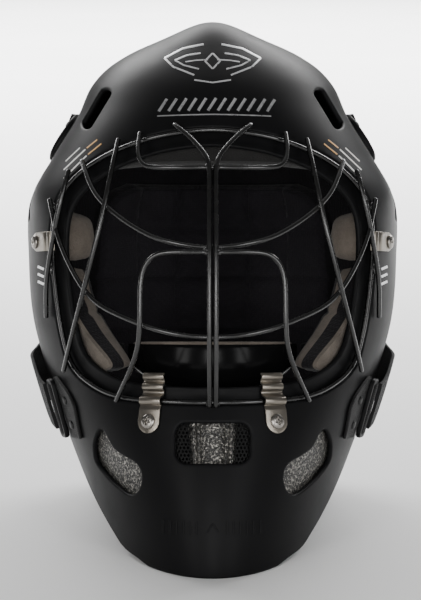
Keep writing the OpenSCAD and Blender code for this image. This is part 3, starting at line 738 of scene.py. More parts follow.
def front_fun(P):
    X = raw(P[:, 0], P[:, 1])
    x, y, z = X[:, 0], X[:, 1], X[:, 2]
    f = sd_poly(y, z, shell_side) - R_EDGE
    front = y < 10
    port = np.where(front & (np.abs(x) < 118), -sd_poly(x, z, RIM), 50.0) - .9
    chin = np.where(y < -60, -sd_round_rect(x, z, 0, 82.3, 48, 25, 7.5), 50.0) - R_EDGE
    boom = np.where(y < -30, -sd_poly(np.abs(x), z, boomerang), 50.0) - R_EDGE
    slot = np.where(y < 15, -sd_capsule(np.abs(x), z, (72, 310), (84, 290), 3.5), 50.0) - R_EDGE
    f = np.minimum.reduce([f, port, chin, boom, slot])
    aa = np.abs(P[:, 1])
    for p, q, r in ear_slots:
        f = np.minimum(f, (-sd_capsule(aa, z, p, q, r)) * 1.25 - R_EDGE * .8)
    return f


def plate_fun(P):
    X = surf(P[:, 0], P[:, 1], 6.4)
    f = sd_poly(X[:, 1], X[:, 2], plate_side) - R_EDGE
    aa = np.abs(((P[:, 1] + 180) % 360) - 180)
    z = sec(P[:, 0])[:, 0]
    for p, q, r in plate_slots:
        f = np.minimum(f, -sd_capsule(aa, z, p, q, r) * 1.25 - R_EDGE)
    f = np.minimum(f, -sd_round_rect(P[:, 1] * 2.05, z, 180 * 2.05, 87, 41, 6, 2) - R_EDGE)
    return f


def front_extra(P):
    """Extra outward offset of the shell surface; it is zero everywhere."""
    X = raw(P[:, 0], P[:, 1])
    x, y, z = X[:, 0], X[:, 1], X[:, 2]
    d = np.zeros(len(P))
    return d


ts = np.concatenate([tz(spaced([(-14, 44, 2.4), (44, 112, 1.35), (112, 150, 2.6), (150, 184, 1.5), (184, 226, 2.6), (226, 250, 1.5), (250, 284, 2.6), (284, 318, 1.3), (318, 334, 2.0)])), np.linspace(tz(336.0), NS - 1.06, 26), [NS - 1.0]])
as_f = spaced([(-180, -104, 3.0), (-104, -62, .8), (-62, 62, .75), (62, 104, .8), (104, 180, 3.0)])
V, F, mi = shell_mesh(ts, as_f, front_fun, 0.0, 3.6, R_EDGE)
make("front_shell_skin", V, F, ["shell", "liner"], "shell", ["front_shell"], midx=mi, merge=.12)

# stepped band in the face port, swept round the rim with a rounded, slightly raised lip
K = 360
rim_f = resample(RIM, 1.0, True)
rim_f = rim_f[np.linspace(0, len(rim_f), K, endpoint=False).astype(int)]
prof = [(-.25, -6.9), (-.25, -3.9), (-.05, -3.35), (.0, -3.3), (.12, -3.45), (.30, -3.62), (.50, -3.62), (.66, -3.45), (.78, -3.05),
        (.86, -2.7), (.92, -2.62), (.965, -2.9), (.99, -3.5), (1.0, -4.4), (.985, -5.4), (.94, -6.2), (.88, -6.6), (.6, -6.9), (.3, -7.0)]
outer, inner = shrink(rim_f, 1.0, 1.0), shrink(rim_f, .91, .865)
rings = []
for w, d in prof:
    q = outer + (inner - outer) * w
    rings.append(onface(q[:, 0], q[:, 1], d))
V = np.stack(rings, 1).reshape(-1, 3)
make("face_port_band", V, grid_faces(K, len(prof), True, True, flip=True), "shell", "shell", merge=0)

# -------------------------------------------------------------- back plate
as_b = spaced([(28, 92, 2.0), (92, 268, 1.5), (268, 332, 2.0)])
ts_b = np.concatenate([tz(spaced([(12, 300, 2.6), (300, 334, 2.2)])), np.linspace(tz(336.0), NS - 1.06, 22), [NS - 1.0]])
V, F, mi = shell_mesh(ts_b, as_b, plate_fun, 6.4, 3.2, R_EDGE)
make("back_plate_skin", V, F, ["back", "liner"], "back", ["back_plate"], midx=mi, merge=.12)


# thin knitted lining inside the back plate, behind its slots
za, aa = np.linspace(66, 306, 60), np.linspace(-1, 1, 64)
ZZ, AA = np.meshgrid(za, aa, indexing="ij")
WID = np.interp(ZZ, [66, 90, 150, 200, 260, 306], [34, 46, 60, 62, 56, 42])
O = surf(tz(ZZ), 180 + AA * WID, np.full(ZZ.shape, 2.9))
I = surf(tz(ZZ), 180 + AA * WID, np.full(ZZ.shape, 2.1))
n, m = ZZ.shape
g = grid_faces(n, m)
kk = n * m
lp = [j for j in range(m)] + [i * m + m - 1 for i in range(1, n)] + [(n - 1) * m + j for j in range(m - 2, -1, -1)] + [i * m for i in range(n - 2, 0, -1)]
F = list(g) + [tuple(kk + q for q in reversed(f)) for f in g] + [(lp[q], kk + lp[q], kk + lp[(q + 1) % len(lp)], lp[(q + 1) % len(lp)]) for q in range(len(lp))]
make("back_plate_lining", np.vstack([O.reshape(-1, 3), I.reshape(-1, 3)]), F, "knit", "back", sharp=60)


# ------------------------------------------------------------------- pads
def pad_piece(name, rows, d, mats, body, nodes, k=40, nz=36, side=1, edge=.16, grooves=None, bands=None, front=0):
    """Cushion against the inside of a shell: crowned inner face, rolled edge, cut foam round the side."""
    rows = np.asarray(rows, float)
    u = np.linspace(0, 1, len(rows))
    uu = np.linspace(0, 1, nz + 1)
    R = np.stack([np.interp(uu, u, rows[:, q]) for q in range(rows.shape[1])], 1)
    Rs = smooth(rows, 8)
    us = np.linspace(0, 1, len(Rs))
    R = np.stack([np.interp(uu, us, Rs[:, q]) for q in range(rows.shape[1])], 1)
    vv = np.linspace(0, 1, k + 1)
    Z = np.repeat(R[:, :1], k + 1, 1)
    A = R[:, 1:2] + (R[:, 2:3] - R[:, 1:2]) * vv[None, :]
    th = rows[:, 3].max()
    # distance to the nearest edge in millimetres
    du = np.minimum(uu, 1 - uu)[:, None] * (rows[-1, 0] - rows[0, 0])
    dv = np.minimum(vv, 1 - vv)[None, :] * np.abs(R[:, 2:3] - R[:, 1:2]) * 1.9
    ed = np.minimum(du, dv) + 0 * A
    rr = th * .42
    prof = np.sqrt(np.clip(1 - (1 - np.clip(ed / rr, 0, 1)) ** 2, 0, 1))
    T = th * (.60 + .34 * prof) + th * .10 * np.sin(np.pi * uu)[:, None] * np.sin(np.pi * vv)[None, :]
    if grooves is not None:
        T = T - grooves(Z, A) * 2.6
    t = tz(Z)
    O = surf(t, A, np.full(A.shape, -d))
    I = surf(t, A, -d - T)
    n, m = A.shape
    S = []
    # side wall rings: bulge slightly
    V = np.vstack([O.reshape(-1, 3), I.reshape(-1, 3)])
    F, mi = [], []
    g = grid_faces(n, m)
    F += [tuple(x) for x in g]
    mi += [0] * len(g)
    g2 = [tuple(n * m + q for q in reversed(x)) for x in g]
    F += g2
    mi += [0 if q % (m - 1) < front else 1 for q in range(len(g2))]
    loop = [j for j in range(m)] + [i * m + m - 1 for i in range(1, n)] + [(n - 1) * m + j for j in range(m - 2, -1, -1)] + [i * m for i in range(n - 2, 0, -1)]
    L = len(loop)
    steps = 6
    base = len(V)
    ctr = V[:n * m].mean(0)
    rings_idx = [np.array(loop)]
    extra = []
    Ol, Il = V[loop], V[[n * m + q for q in loop]]
    nxt, prv = np.roll(Ol, -1, 0), np.roll(Ol, 1, 0)
    tan = nxt - prv
    tan /= np.maximum(np.linalg.norm(tan, axis=1), 1e-9)[:, None]
    nn = (Ol - Il)
    nn /= np.linalg.norm(nn, axis=1)[:, None]
    out = np.cross(tan, nn)
    sgn = np.sign(((Ol - ctr) * out).sum(1).mean())
    out *= sgn if sgn else 1
    for s in range(1, steps):
        f = s / steps
        extra.append(Ol + (Il - Ol) * f + out * (.55 * math.sin(math.pi * f) + (.35 * abs(math.sin(3 * math.pi * f)) if bands else .2)) * edge * 6)
        rings_idx.append(np.arange(base, base + L))
        base += L
    rings_idx.append(np.array([n * m + q for q in loop]))
    V = np.vstack([V] + extra)
    for s in range(steps):
        a, b = rings_idx[s], rings_idx[s + 1]
        for q in range(L):
            w = (q + 1) % L
            F.append((int(a[q]), int(b[q]), int(b[w]), int(a[w])))
            # the face fabric wraps the last part of the edge
            if bands:
                mi.append(1 if bands[min(s, len(bands) - 1)] == "k" else 0)
            else:
                mi.append(2 if s >= steps - 1 else 0)
    if side < 0:
        V, F = mirror(V, F)
    o = make(name, V, F, mats, body, nodes, midx=mi, sharp=52)
    return o


def seams(lines_a=(), lines_z=(), w=1.6):
    def g(Z, A):
        r = np.zeros_like(A)
        for a in lines_a:
            r = np.maximum(r, np.exp(-(((A - a) * 1.9) / w) ** 2))
        for z in lines_z:
            r = np.maximum(r, np.exp(-((Z - z) / w) ** 2))
        return r
    return g


PD = 4.1
pad_piece("forehead_cushion", [[264, -46, 46, 12], [272, -50, 50, 12], [284, -54, 54, 12], [296, -54, 54, 12], [306, -50, 50, 12], [312, -44, 44, 12]],
          8.2, ["foam_grey", "knit", "foam_grey"], "shell", ["forehead_pad"], k=80, nz=24, grooves=seams((-26, 0, 26)), )
for side, nm in ((1, "right"), (-1, "left")):
    pad_piece("temple_cushion_" + nm, [[199, 63, 90, 22], [204, 60, 93, 30], [213, 59, 94, 32], [222, 60, 93, 31], [230, 63, 91, 27], [235, 68, 87, 18]],
              PD + 3.6, ["foam", "knit", "foam"], "shell", ["temple_pad_" + nm], side=side, k=34, nz=34, grooves=seams((78,), ()), bands="ffffff", front=9)
    pad_piece("cheek_cushion_" + nm, [[125, 42, 75, 16], [131, 38, 79, 24], [150, 47, 80, 26], [172, 55, 80, 26], [186, 58, 80, 25], [193, 62, 78, 17]],
              PD + 3.6, ["foam", "knit", "foam"], "shell", ["cheek_pad_" + nm], side=side, k=44, nz=44, grooves=seams((66,), (162,)), bands="fkkkkf", front=2)
    pad_piece("jaw_cushion_" + nm, [[46, 34, 54, 9], [52, 29, 57, 9], [64, 26, 60, 9], [78, 29, 60, 9], [87, 37, 57, 9], [91, 43, 52, 9]],
              PD, ["vinyl", "knit", "vinyl"], "shell", ["jaw_pad_" + nm], side=side, k=30, nz=30)
pad_piece("nape_cushion", [[76, 146, 214, 17], [84, 140, 220, 17], [110, 134, 226, 17], [140, 130, 230, 17], [170, 130, 230, 17], [200, 132, 228, 17],
                           [230, 134, 226, 17], [250, 138, 222, 17], [258, 146, 214, 17]],
          -2.0, ["knit", "knit2", "knit"], "back", ["nape_pad"], k=90, nz=80,
          grooves=seams((150, 166, 194, 210), (112, 150, 188, 226), 2.2))

# crown cushion: a rounded panel under the dome
n, m = 40, 30
xs = np.linspace(-1, 1, m)
ys = np.linspace(-1, 1, n)
GY, GX = np.meshgrid(ys, xs, indexing="ij")
# squircle mapping
PX = GX * np.sqrt(1 - .42 * GY ** 2) * 36
PY = GY * np.sqrt(1 - .42 * GX ** 2) * 44 + 14


def under_dome(px, py, d):
    t = np.full(px.shape, 13.2)
    rho = np.hypot(px, (py - 17))
    a = np.degrees(np.arctan2(px, -(py - 17)))
    lo, hi = np.full(px.shape, 9.0), np.full(px.shape, NS - 1.02)
    for _ in range(34):
        mid = (lo + hi) / 2
        p = raw(mid, a)
        far = np.hypot(p[..., 0], p[..., 1] - 17) > rho
        lo = np.where(far, mid, lo)
        hi = np.where(far, hi, mid)
    t = (lo + hi) / 2
    for _ in range(6):
        p = raw(t, a)
        a = a + np.clip(np.degrees(np.arctan2(px, -(py - 17)) - np.arctan2(p[..., 0], -(p[..., 1] - 17))), -10, 10) * .9
    return surf(t, a, d)


O = under_dome(PX, PY, np.full(PX.shape, -4.3))
edge = np.minimum(1 - np.abs(GX), 1 - np.abs(GY)) * 36
T = 9.5 * (.45 + .5 * np.sqrt(np.clip(1 - (1 - np.clip(edge / 6, 0, 1)) ** 2, 0, 1))) - 2.2 * (np.exp(-((GX * 36 - 13) / 1.8) ** 2) + np.exp(-((GX * 36 + 13) / 1.8) ** 2) + np.exp(-((GY * 44) / 1.8) ** 2))
I = O - np.array([0, 0, 1.0]) * T[..., None]
V = np.vstack([O.reshape(-1, 3), I.reshape(-1, 3)])
g = grid_faces(n, m, flip=True)
F = g + [tuple(n * m + q for q in reversed(x)) for x in g]
loop = [j for j in range(m)] + [i * m + m - 1 for i in range(1, n)] + [(n - 1) * m + j for j in range(m - 2, -1, -1)] + [i * m for i in range(n - 2, 0, -1)]
for q in range(len(loop)):
    a, b = loop[q], loop[(q + 1) % len(loop)]
    F.append((a, b, n * m + b, n * m + a))
make("crown_cushion", V, F, "knit2", "shell", ["crown_pad"], sharp=60)


# -------------------------------------------------------------------- cage
WD = 3.2


def cage_pt(x, z, l):
    v = np.clip((z - 105) / 179, 0, 1)
    b = 24 * np.maximum(0, 1 - x * x / 12100) * np.maximum(np.sin(np.pi * v), 0) ** .8
    p = onface(x, z, WD - .9)
    p[..., 1] -= b + l * (WD - .08) * np.minimum(1, b / 8)
    return p


def relax(c, loop=False, n=8):
    """Takes small ripples out of a centreline and keeps its ends."""
    c = np.array(c, float)
    for _ in range(n):
        m = .25 * np.roll(c, 1, 0) + .5 * c + .25 * np.roll(c, -1, 0)
        if not loop:
            m[0], m[-1] = c[0], c[-1]
        c = m
    return c


def bar_points(p, l, k=14):
    q = smooth(p, k)
    return relax(resample(cage_pt(q[:, 0], q[:, 1], l), 1.4))


BARS = {
    "center_bar": ([[24, 284], [16, 277], [8, 268], [3, 260], [2, 250], [2, 225], [2, 172], [2, 130], [2, 104.5]], 1),
    "diagonal_bar": ([[60, 275], [65, 248], [70, 223], [77, 195], [84, 168], [96, 126]], 1),
    "outer_bar": ([[93, 256], [99, 232], [104, 208], [108, 184], [108.5, 161]], 1),
    "lower_arch": ([[5, 201.6], [28, 201.5], [37, 199], [42, 193], [44.5, 183], [45, 160], [46, 144], [50, 130], [60, 107.5]], 1),
}
WIDE = {
    "brow_loop": ([[-46, 279], [-47, 268], [-45, 260], [-38, 256], [0, 255.5], [38, 256], [45, 260], [47, 268], [46, 279]], 0),
    "upper_cross_bar": ([[-84, 262], [-76, 243], [-66, 231], [-49, 218], [-30, 209], [0, 204.5], [30, 209], [49, 218], [66, 231], [76, 243], [84, 262]], 0),
    "lower_cross_bar": ([[-106, 238], [-99, 212], [-88, 189], [-76, 173], [-60, 163], [-30, 152], [0, 148.5], [30, 152], [60, 163], [76, 173], [88, 189], [99, 212], [106, 238]], 0),
}
WIRES = {}
for nm, (p, l) in BARS.items():
    c = bar_points(p, l)
    for side, sn in ((1, "right"), (-1, "left")):
        WIRES["cage_%s_%s" % (nm, sn)] = c * np.array([side, 1, 1])
for nm, (p, l) in WIDE.items():
    WIRES["cage_" + nm] = bar_points(p, l)
rw = shrink(RIM, .985, .978)
rw = resample(np.pad(rw, ((0, 0), (0, 1))), .8, True)[:, :2]
rimw = relax(resample(relax(onface(rw[:, 0], rw[:, 1], -.9), True, 10), 1.3, True), True, 6)
WIRES["cage_rim_wire"] = rimw


def blob(p, f, r=2.0, seed=0):
    """Small fillet of weld metal, a little lumpy."""
    n, m = 9, 12
    V = []
    for i in range(n + 1):
        th = math.pi * i / n
        for j in range(m):
            ph = 2 * math.pi * j / m
            k = r * (1 + .07 * math.sin(3 * ph + seed) + .05 * math.cos(5 * th + 2 * seed))
            V.append([k * math.sin(th) * math.cos(ph), k * math.sin(th) * math.sin(ph), k * math.cos(th)])
    V = np.array(V)
    f = f / np.linalg.norm(f)
    a = np.cross(f, [0, 1, 0.01])
    a /= np.linalg.norm(a)
    b = np.cross(f, a)
    V = V[:, :1] * .62 * a + V[:, 1:2] * .62 * b + V[:, 2:] * 1.05 * f
    return V + p, grid_faces(n + 1, m, False, True)


def crossings(a, b, reach):
    """Points where two wires pass each other, one for each crossing."""
    d = np.linalg.norm(a[:, None, :] - b[None, :, :], axis=2)
    out = []
    dd = d.copy()
    while True:
        i, j = np.unravel_index(dd.argmin(), dd.shape)
        if dd[i, j] > reach:
            break
        ta, tb = a[min(i + 1, len(a) - 1)] - a[max(i - 1, 0)], b[min(j + 1, len(b) - 1)] - b[max(j - 1, 0)]
        if abs(ta @ tb) < .94 * np.linalg.norm(ta) * np.linalg.norm(tb):
            out.append((a[i], b[j], ta, tb))
        m = np.linalg.norm(a - a[i], axis=1) < 14
        dd[m, :] = 1e9
    return out


names = list(WIRES)
for nm, c in WIRES.items():
    loop = nm == "cage_rim_wire"
    parts = [tube(c, WD / 2, 18, loop)]
    if not loop:
        k = 0
        for other, oc in WIRES.items():
            if other == nm or names.index(other) < names.index(nm) and other != "cage_rim_wire":
                continue
            for pa, pb, ta, tb in crossings(c, oc, 4.6):
                mid = (pa + pb) / 2
                tbn = tb / np.linalg.norm(tb)
                tan = ta / np.linalg.norm(ta)
                for q in (1, -1):
                    parts.append(blob(mid + q * tbn * 1.0, tan, 2.0, k))
                    parts.append(blob(mid + q * tan * 1.0, tbn, 1.9, k + 1))
                    k += 2
    V, F = join(parts)
    make("wire_" + nm[5:], V, F, "wire", "shell", [nm], sharp=50)


# ------------------------------------------------------------- clips, screws
def basis(p, n, up):
    x = np.cross(up, n)
    x /= np.linalg.norm(x)
    return np.array([x, np.cross(n, x), n]), np.array(p)


def to_frame(V, B, p):
    return V @ B + p


def screw_frame(x, z):
    t, a = face(x, z)
    return basis(surf(t, a, 0.0), normal(t, a), [-.5, -1, 0] if x > 90 else [0, 0, 1])


def strip_piece(line, w, th=1.2, tab=True):
    """Bent strip with a rounded tab; local X across, Y along, Z out of the wall."""
    line = np.array(line, float)
    y0 = line[0][0]
    R = -y0
    st = [(y0 + R * (1 - math.cos(q)), line[0][1], R * math.sin(q)) for q in np.linspace(.10, math.pi / 2, 9)]
    st += [(v, line[0][1], w / 2) for v in np.linspace(.8, line[1][0] - .4, 6)]
    rest = smooth(line[1:], 4)
    st += [(p[0], p[1], w / 2) for p in rest]
    st = np.array(st)
    C = st[:, :2]
    f = np.gradient(C, axis=0)
    f /= np.linalg.norm(f, axis=1)[:, None]
    nn = np.stack([-f[:, 1], f[:, 0]], 1)
    b = .32
    rings = []
    for (cy, cz, hw), nv in zip(st, nn):
        hw = max(hw, .5)
        pr = [(-hw, -th / 2 + b), (-hw + b * .3, -th / 2 + b * .3), (-hw + b, -th / 2), (0, -th / 2), (hw - b, -th / 2), (hw - b * .3, -th / 2 + b * .3), (hw, -th / 2 + b),
              (hw, th / 2 - b), (hw - b * .3, th / 2 - b * .3), (hw - b, th / 2), (0, th / 2), (-hw + b, th / 2), (-hw + b * .3, th / 2 - b * .3), (-hw, th / 2 - b)]
        rings.append([[x, cy + h * nv[0], cz + h * nv[1]] for x, h in pr])
    V = np.array(rings)
    n, m = V.shape[:2]
    F = grid_faces(n, m, False, True, flip=True)
    F += [tuple(range(m)), tuple((n - 1) * m + k for k in range(m))[::-1]]
    return V.reshape(-1, 3), F


arc = lambda c, r, k, a0, a1, st: [[c[0] + r * math.cos(math.radians(q)), c[1] + r * k * math.sin(math.radians(q))] for q in np.arange(a0, a1, st)]
lower_line = [[-7.6, .9], [7.5, .9]] + arc((13.4, -1.3), WD / 2 + 1.25, 1.3, 160, 19, -28) + [[17.4, -2.1], [19.2, -2.4]] + \
    arc((22.6, -2.3), 2.3, 1, 160, 19, -35) + [[26, -2.2]] + arc((29.2, -1.9), 2.0, 1, 160, 19, -35)
side_line = [[-6, .9], [9, .9], [17, .5]] + arc((23, -2.9), WD / 2 + 1.25, 1.15, 150, -7, -26)


def revolve(prof, n=40):
    """prof lists radius and height from the axis outwards and back."""
    th = np.linspace(0, 2 * np.pi, n, endpoint=False)
    V = [[r * math.cos(q), r * math.sin(q), h] for r, h in prof for q in th]
    F = grid_faces(len(prof), n, False, True, flip=True)
    F += [tuple(range(n)), tuple((len(prof) - 1) * n + k for k in range(n))[::-1]]
    return np.array(V), F


def screw_head(topz, rad=4.75, turn=20):
    """Pan head with a cross recess pressed into it."""
    n, m = 34, 96
    rr = np.concatenate([np.linspace(.02, .82, 24), 1 - (1 - .82) * np.linspace(1, 0, n - 24 + 1)[1:] ** 1.6])
    th = np.linspace(0, 2 * np.pi, m, endpoint=False)
    R, T = np.meshgrid(rr, th, indexing="ij")
    X, Y = rad * R * np.cos(T), rad * R * np.sin(T)
    H = .55 + 1.85 * np.sqrt(np.clip(1 - R ** 2.4, 0, 1))
    q = math.radians(turn)
    u, v = X * math.cos(q) + Y * math.sin(q), -X * math.sin(q) + Y * math.cos(q)
    ax = np.minimum(np.abs(u), np.abs(v))
    far = np.maximum(np.abs(u), np.abs(v))
    half = .50
    rec = st01((half + .14 - ax) / .26) * st01((2.75 - far) / .7)
    rec = np.maximum(rec, st01((1.35 - np.hypot(u, v)) / .45) * .9)
    H = H - 1.35 * rec
    V = np.stack([X, Y, H + topz], -1).reshape(-1, 3)
    F = grid_faces(len(rr), m, False, True, flip=True)
    F += [tuple(range(m))]
    base = revolve([(rad, .55 + topz), (rad * .995, .25 + topz), (rad * .96, topz), (2.2, topz), (2.0, topz - 7.6), (1.6, topz - 8.0)], 48)
    return join([(V, [tuple(reversed(f)) for f in F] if False else F), (base[0], [tuple(reversed(f)) for f in base[1]])])


def both_sides(vf):
    return join([vf, mirror(*vf)])


for nm, line, w, xz in (("lower_clip", lower_line, 15.2, (40, 95)), ("side_clip", side_line, 12.8, (117.5, 211))):
    B, p = screw_frame(*xz)
    V, F = strip_piece(line, w)
    V = to_frame(V, B, p)
    for side, sn in ((1, "right"), (-1, "left")):
        vv, ff = (V, F) if side > 0 else mirror(V, F)
        make("clip_%s_%s" % (nm.split("_")[0], sn), vv, ff, "clip", "shell", ["%s_%s" % (nm, sn)], sharp=50)
    sv, sf = screw_head(1.52)
    sv = to_frame(sv, B, p)
    vv, ff = both_sides((sv, sf))
    make("screws_" + nm.split("_")[0], vv, ff, "screw", "shell", [nm + "_screws"], sharp=55)
    d = 3.6 + (.7 if nm == "lower_clip" else .9)
    prof = [(2.05, -d - 1.2), (6.2, -d - 1.2), (6.8, -d - 1.05), (7.0, -d - .7), (6.9, -d - .2), (6.2, -d), (3.4, -d), (3.2, -d + .3), (3.2, -.4), (3.0, -.1), (2.05, -.1)]
    nv, nf = revolve(prof, 48)
    barbs = []
    for q in range(3):
        a = 2 * math.pi * q / 3
        c, s = math.cos(a), math.sin(a)
        bx = np.array([[5.2, -.7, -d], [6.4, -.7, -d], [6.4, .7, -d], [5.2, .7, -d], [5.7, -.2, -d + .65], [6.0, -.2, -d + .65], [6.0, .2, -d + .65], [5.7, .2, -d + .65]])
        bx = np.stack([bx[:, 0] * c - bx[:, 1] * s, bx[:, 0] * s + bx[:, 1] * c, bx[:, 2]], 1)
        barbs.append((bx, [(0, 3, 2, 1), (4, 5, 6, 7), (0, 1, 5, 4), (1, 2, 6, 5), (2, 3, 7, 6), (3, 0, 4, 7)]))
    nv, nf = join([(nv, nf)] + barbs)
    vv, ff = both_sides((to_frame(nv, B, p), nf))
    make("tee_nuts_" + nm.split("_")[0], vv, ff, "nut", "shell", [nm + "_tee_nuts"], sharp=40)


# ---------------------------------------------------------- chin vent and pad
def vent_mesh():
    """Perforated sheet: each cell is a hexagon with a round hole, on a staggered lattice."""
    pitch, rad = 2.7, .92
    V, F = [], []
    nx, nz = 23, 15
    A0, Z0 = 0.0, 82.2
    perdeg = 1.9
    corner = {}

    def vert(x, z, d):
        k = (round(x, 3), round(z, 3), d)
        if k not in corner:
            corner[k] = len(V)
            V.append((x, z, d))
        return corner[k]
    for iz in range(-nz // 2 + 1, nz // 2 + 1):
        for ix in range(-nx // 2 + 1, nx // 2 + 1):
            cx, cz = (ix + (.5 if iz % 2 else 0)) * pitch, iz * pitch * .866
            if abs(cx) > 28.0 or abs(cz) > 16.8 or abs(cx) < 16.0:
                continue
            hexa = [(cx + pitch / math.sqrt(3) * math.cos(math.radians(30 + 60 * q)), cz + pitch / math.sqrt(3) * math.sin(math.radians(30 + 60 * q))) for q in range(6)]
            for d in (-4.1, -4.95):
                hv = [vert(x, z, d) for x, z in hexa]
                cv = [vert(cx + rad * math.cos(math.radians(30 * q)), cz + rad * math.sin(math.radians(30 * q)), d) for q in range(12)]
                for q in range(6):
                    a, b = hv[q], hv[(q + 1) % 6]
                    c0, c1, c2 = cv[(2 * q + 1) % 12], cv[(2 * q + 2) % 12], cv[(2 * q + 3) % 12]
                    fs = [(a, b, c1), (a, c1, c0), (b, c2, c1)]
                    F += fs if d > -4.5 else [tuple(reversed(f)) for f in fs]
            for q in range(12):
                a, b = 30 * q, 30 * (q + 1)
                o0 = vert(cx + rad * math.cos(math.radians(a)), cz + rad * math.sin(math.radians(a)), -4.1)
                o1 = vert(cx + rad * math.cos(math.radians(b % 360)), cz + rad * math.sin(math.radians(b % 360)), -4.1)
                i0 = vert(cx + rad * math.cos(math.radians(a)), cz + rad * math.sin(math.radians(a)), -4.95)
                i1 = vert(cx + rad * math.cos(math.radians(b % 360)), cz + rad * math.sin(math.radians(b % 360)), -4.95)
                F.append((o0, i0, i1, o1))
    V = np.array(V)
    P = surf(tz(V[:, 1] + Z0), A0 + V[:, 0] / perdeg, V[:, 2])
    return P, F


V, F = vent_mesh()
make("chin_vent_mesh_sheet", V, F, "mesh", "shell", ["chin_vent_mesh"], flat=True)


def chin_pad_mesh():
    n, m = 60, 110
    uu, vv = np.linspace(0, 1, n), np.linspace(-1, 1, m)
    U, Vv = np.meshgrid(uu, vv, indexing="ij")
    z = 62 + 40 * U
    x = np.abs(Vv) * 18.0
    a = Vv * 18.0 / 1.9
    end = np.sqrt(np.clip(1 - (1 - np.clip(np.minimum(U, 1 - U) * 40 / 5, 0, 1)) ** 2, 0, 1))
    mid = np.sqrt(np.clip(1 - (x / 9.4) ** 2, 0, 1)) * 3.6
    roll = np.sqrt(np.clip(1 - ((x - 13.4) / 1.9) ** 2, 0, 1)) * 3.2
    wrinkle = .18 * np.sin(z * .9 + 2 * np.sin(x)) * np.exp(-((x - 7) / 3) ** 2)
    H = -9.0 + np.maximum(mid, roll) * (.25 + .75 * end) + wrinkle - 1.5 * st01((x - 15.5) / 2.5)
    O = surf(tz(z), a, H)
    I = surf(tz(z), a, -13.6 + 0 * z)
    g = grid_faces(n, m)
    k = n * m
    F = list(g) + [tuple(k + q for q in reversed(f)) for f in g]
    loop = [j for j in range(m)] + [i * m + m - 1 for i in range(1, n)] + [(n - 1) * m + j for j in range(m - 2, -1, -1)] + [i * m for i in range(n - 2, 0, -1)]
    F += [(loop[q], k + loop[q], k + loop[(q + 1) % len(loop)], loop[(q + 1) % len(loop)]) for q in range(len(loop))]
    return np.vstack([O.reshape(-1, 3), I.reshape(-1, 3)]), F


V, F = chin_pad_mesh()
make("chin_vent_cushion", V, F, "vinyl", "shell", ["chin_pad"], sharp=70)


# ----------------------------------------------------------------- chin cup
def chaikin(p, k=2):
    p = np.asarray(p, float)
    for _ in range(k):
        q = np.roll(p, -1, 0)
        p = np.stack([.78 * p + .22 * q, .22 * p + .78 * q], 1).reshape(-1, 2)
    return p


def cup_skin(prof, a0, a1, n, ends=.9):
    prof = chaikin(prof, 2)
    fs = np.radians(np.linspace(a0, a1, n))
    rings = []
    for f in fs:
        cx, cy = 57 * math.sin(f), -46 - 46 * math.cos(f)
        k = 1 - .35 * abs(math.sin(f)) ** 3
        w = 1 - prof[:, 0] / 60
        rings.append(np.stack([cx * w, -46 + (cy + 46) * w, 143 - prof[:, 1] * k], 1))
    for end, q, d in ((0, 1, -1), (-1, -2, 1)):
        r, s = rings[end], rings[q]
        c = r.mean(0)
        step = (r - s).mean(0)
        step /= max(1e-9, np.linalg.norm(step))
        extra = [c + (r - c) * .86 + step * ends * .8, c + (r - c) * .5 + step * ends * 1.05, c + (r - c) * .02 + step * ends * 1.1]
        rings = extra[::-1] + rings if end == 0 else rings + extra
    V = np.array(rings)
    n, m = V.shape[:2]
    F = grid_faces(n, m, False, True)
    F += [tuple(range(m))[::-1], tuple((n - 1) * m + k for k in range(m))]
    return V.reshape(-1, 3), F


cup_out = [[0, 0], [0, 14], [3, 24], [10, 32], [18, 36], [17, 33.5], [11, 29.5], [5.4, 22.5], [2.6, 13], [2.6, 0]]
cup_in = [[2.9, -2], [2.9, 13], [5.8, 22], [11.6, 28.6], [17.6, 32.6], [15, 26], [11, 18], [9, 8], [8.8, -2]]
V, F = cup_skin(cup_out, -80, 80, 81)
make("chin_cup_shell", V, F, "cup", "chin", ["chin_cup"], sharp=60)
V, F = cup_skin(cup_in, -78, 78, 81, 1.5)
make("chin_cup_liner", V, F, "foam", "chin", ["chin_cup_foam"])


# ------------------------------------------------------------------- straps
def ring_profile(t, cols=9, r=.3):
    """(across -1..1, height in mm) round a flat strap with rolled edges."""
    v = np.linspace(-1, 1, cols)
    outer = [(q, t) for q in v[1:-1]]
    inner = [(q, 0.0) for q in v[1:-1][::-1]]
    e = 1 - r
    right = [(.985, t * .92), (1.0, t * .5), (.985, t * .08)]
    left = [(-.985, t * .08), (-1.0, t * .5), (-.985, t * .92)]
    return outer + right + inner + left


def webbing(rows, t=2.4, side=1, step=1.6, taper=0.0):
    rows = np.asarray(rows, float)
    R = smooth(rows, 10)
    P = at(R[:, 1], R[:, 0], R[:, 3])
    d = np.concatenate([[0], np.cumsum(np.linalg.norm(np.diff(P, axis=0), axis=1))])
    s = np.linspace(0, d[-1], int(d[-1] / step) + 2)
    R = np.stack([np.interp(s, d, R[:, k]) for k in range(4)], 1)
    pr = ring_profile(t)
    V, UV = [], []
    for v, h in pr:
        V.append(at(R[:, 1] + v * R[:, 2] / 2, R[:, 0], R[:, 3] + h))
        UV.append(np.stack([s, v * R[:, 2] / 2], 1))
    V = np.stack(V, 1)
    UV = np.stack(UV, 1)
    n, m = V.shape[:2]
    F = grid_faces(n, m, False, True)
    F += [tuple(range(m))[::-1], tuple((n - 1) * m + k for k in range(m))]
    V, UV = V.reshape(-1, 3), UV.reshape(-1, 2)
    if side < 0:
        V, F = mirror(V, F)
    return V, F, UV


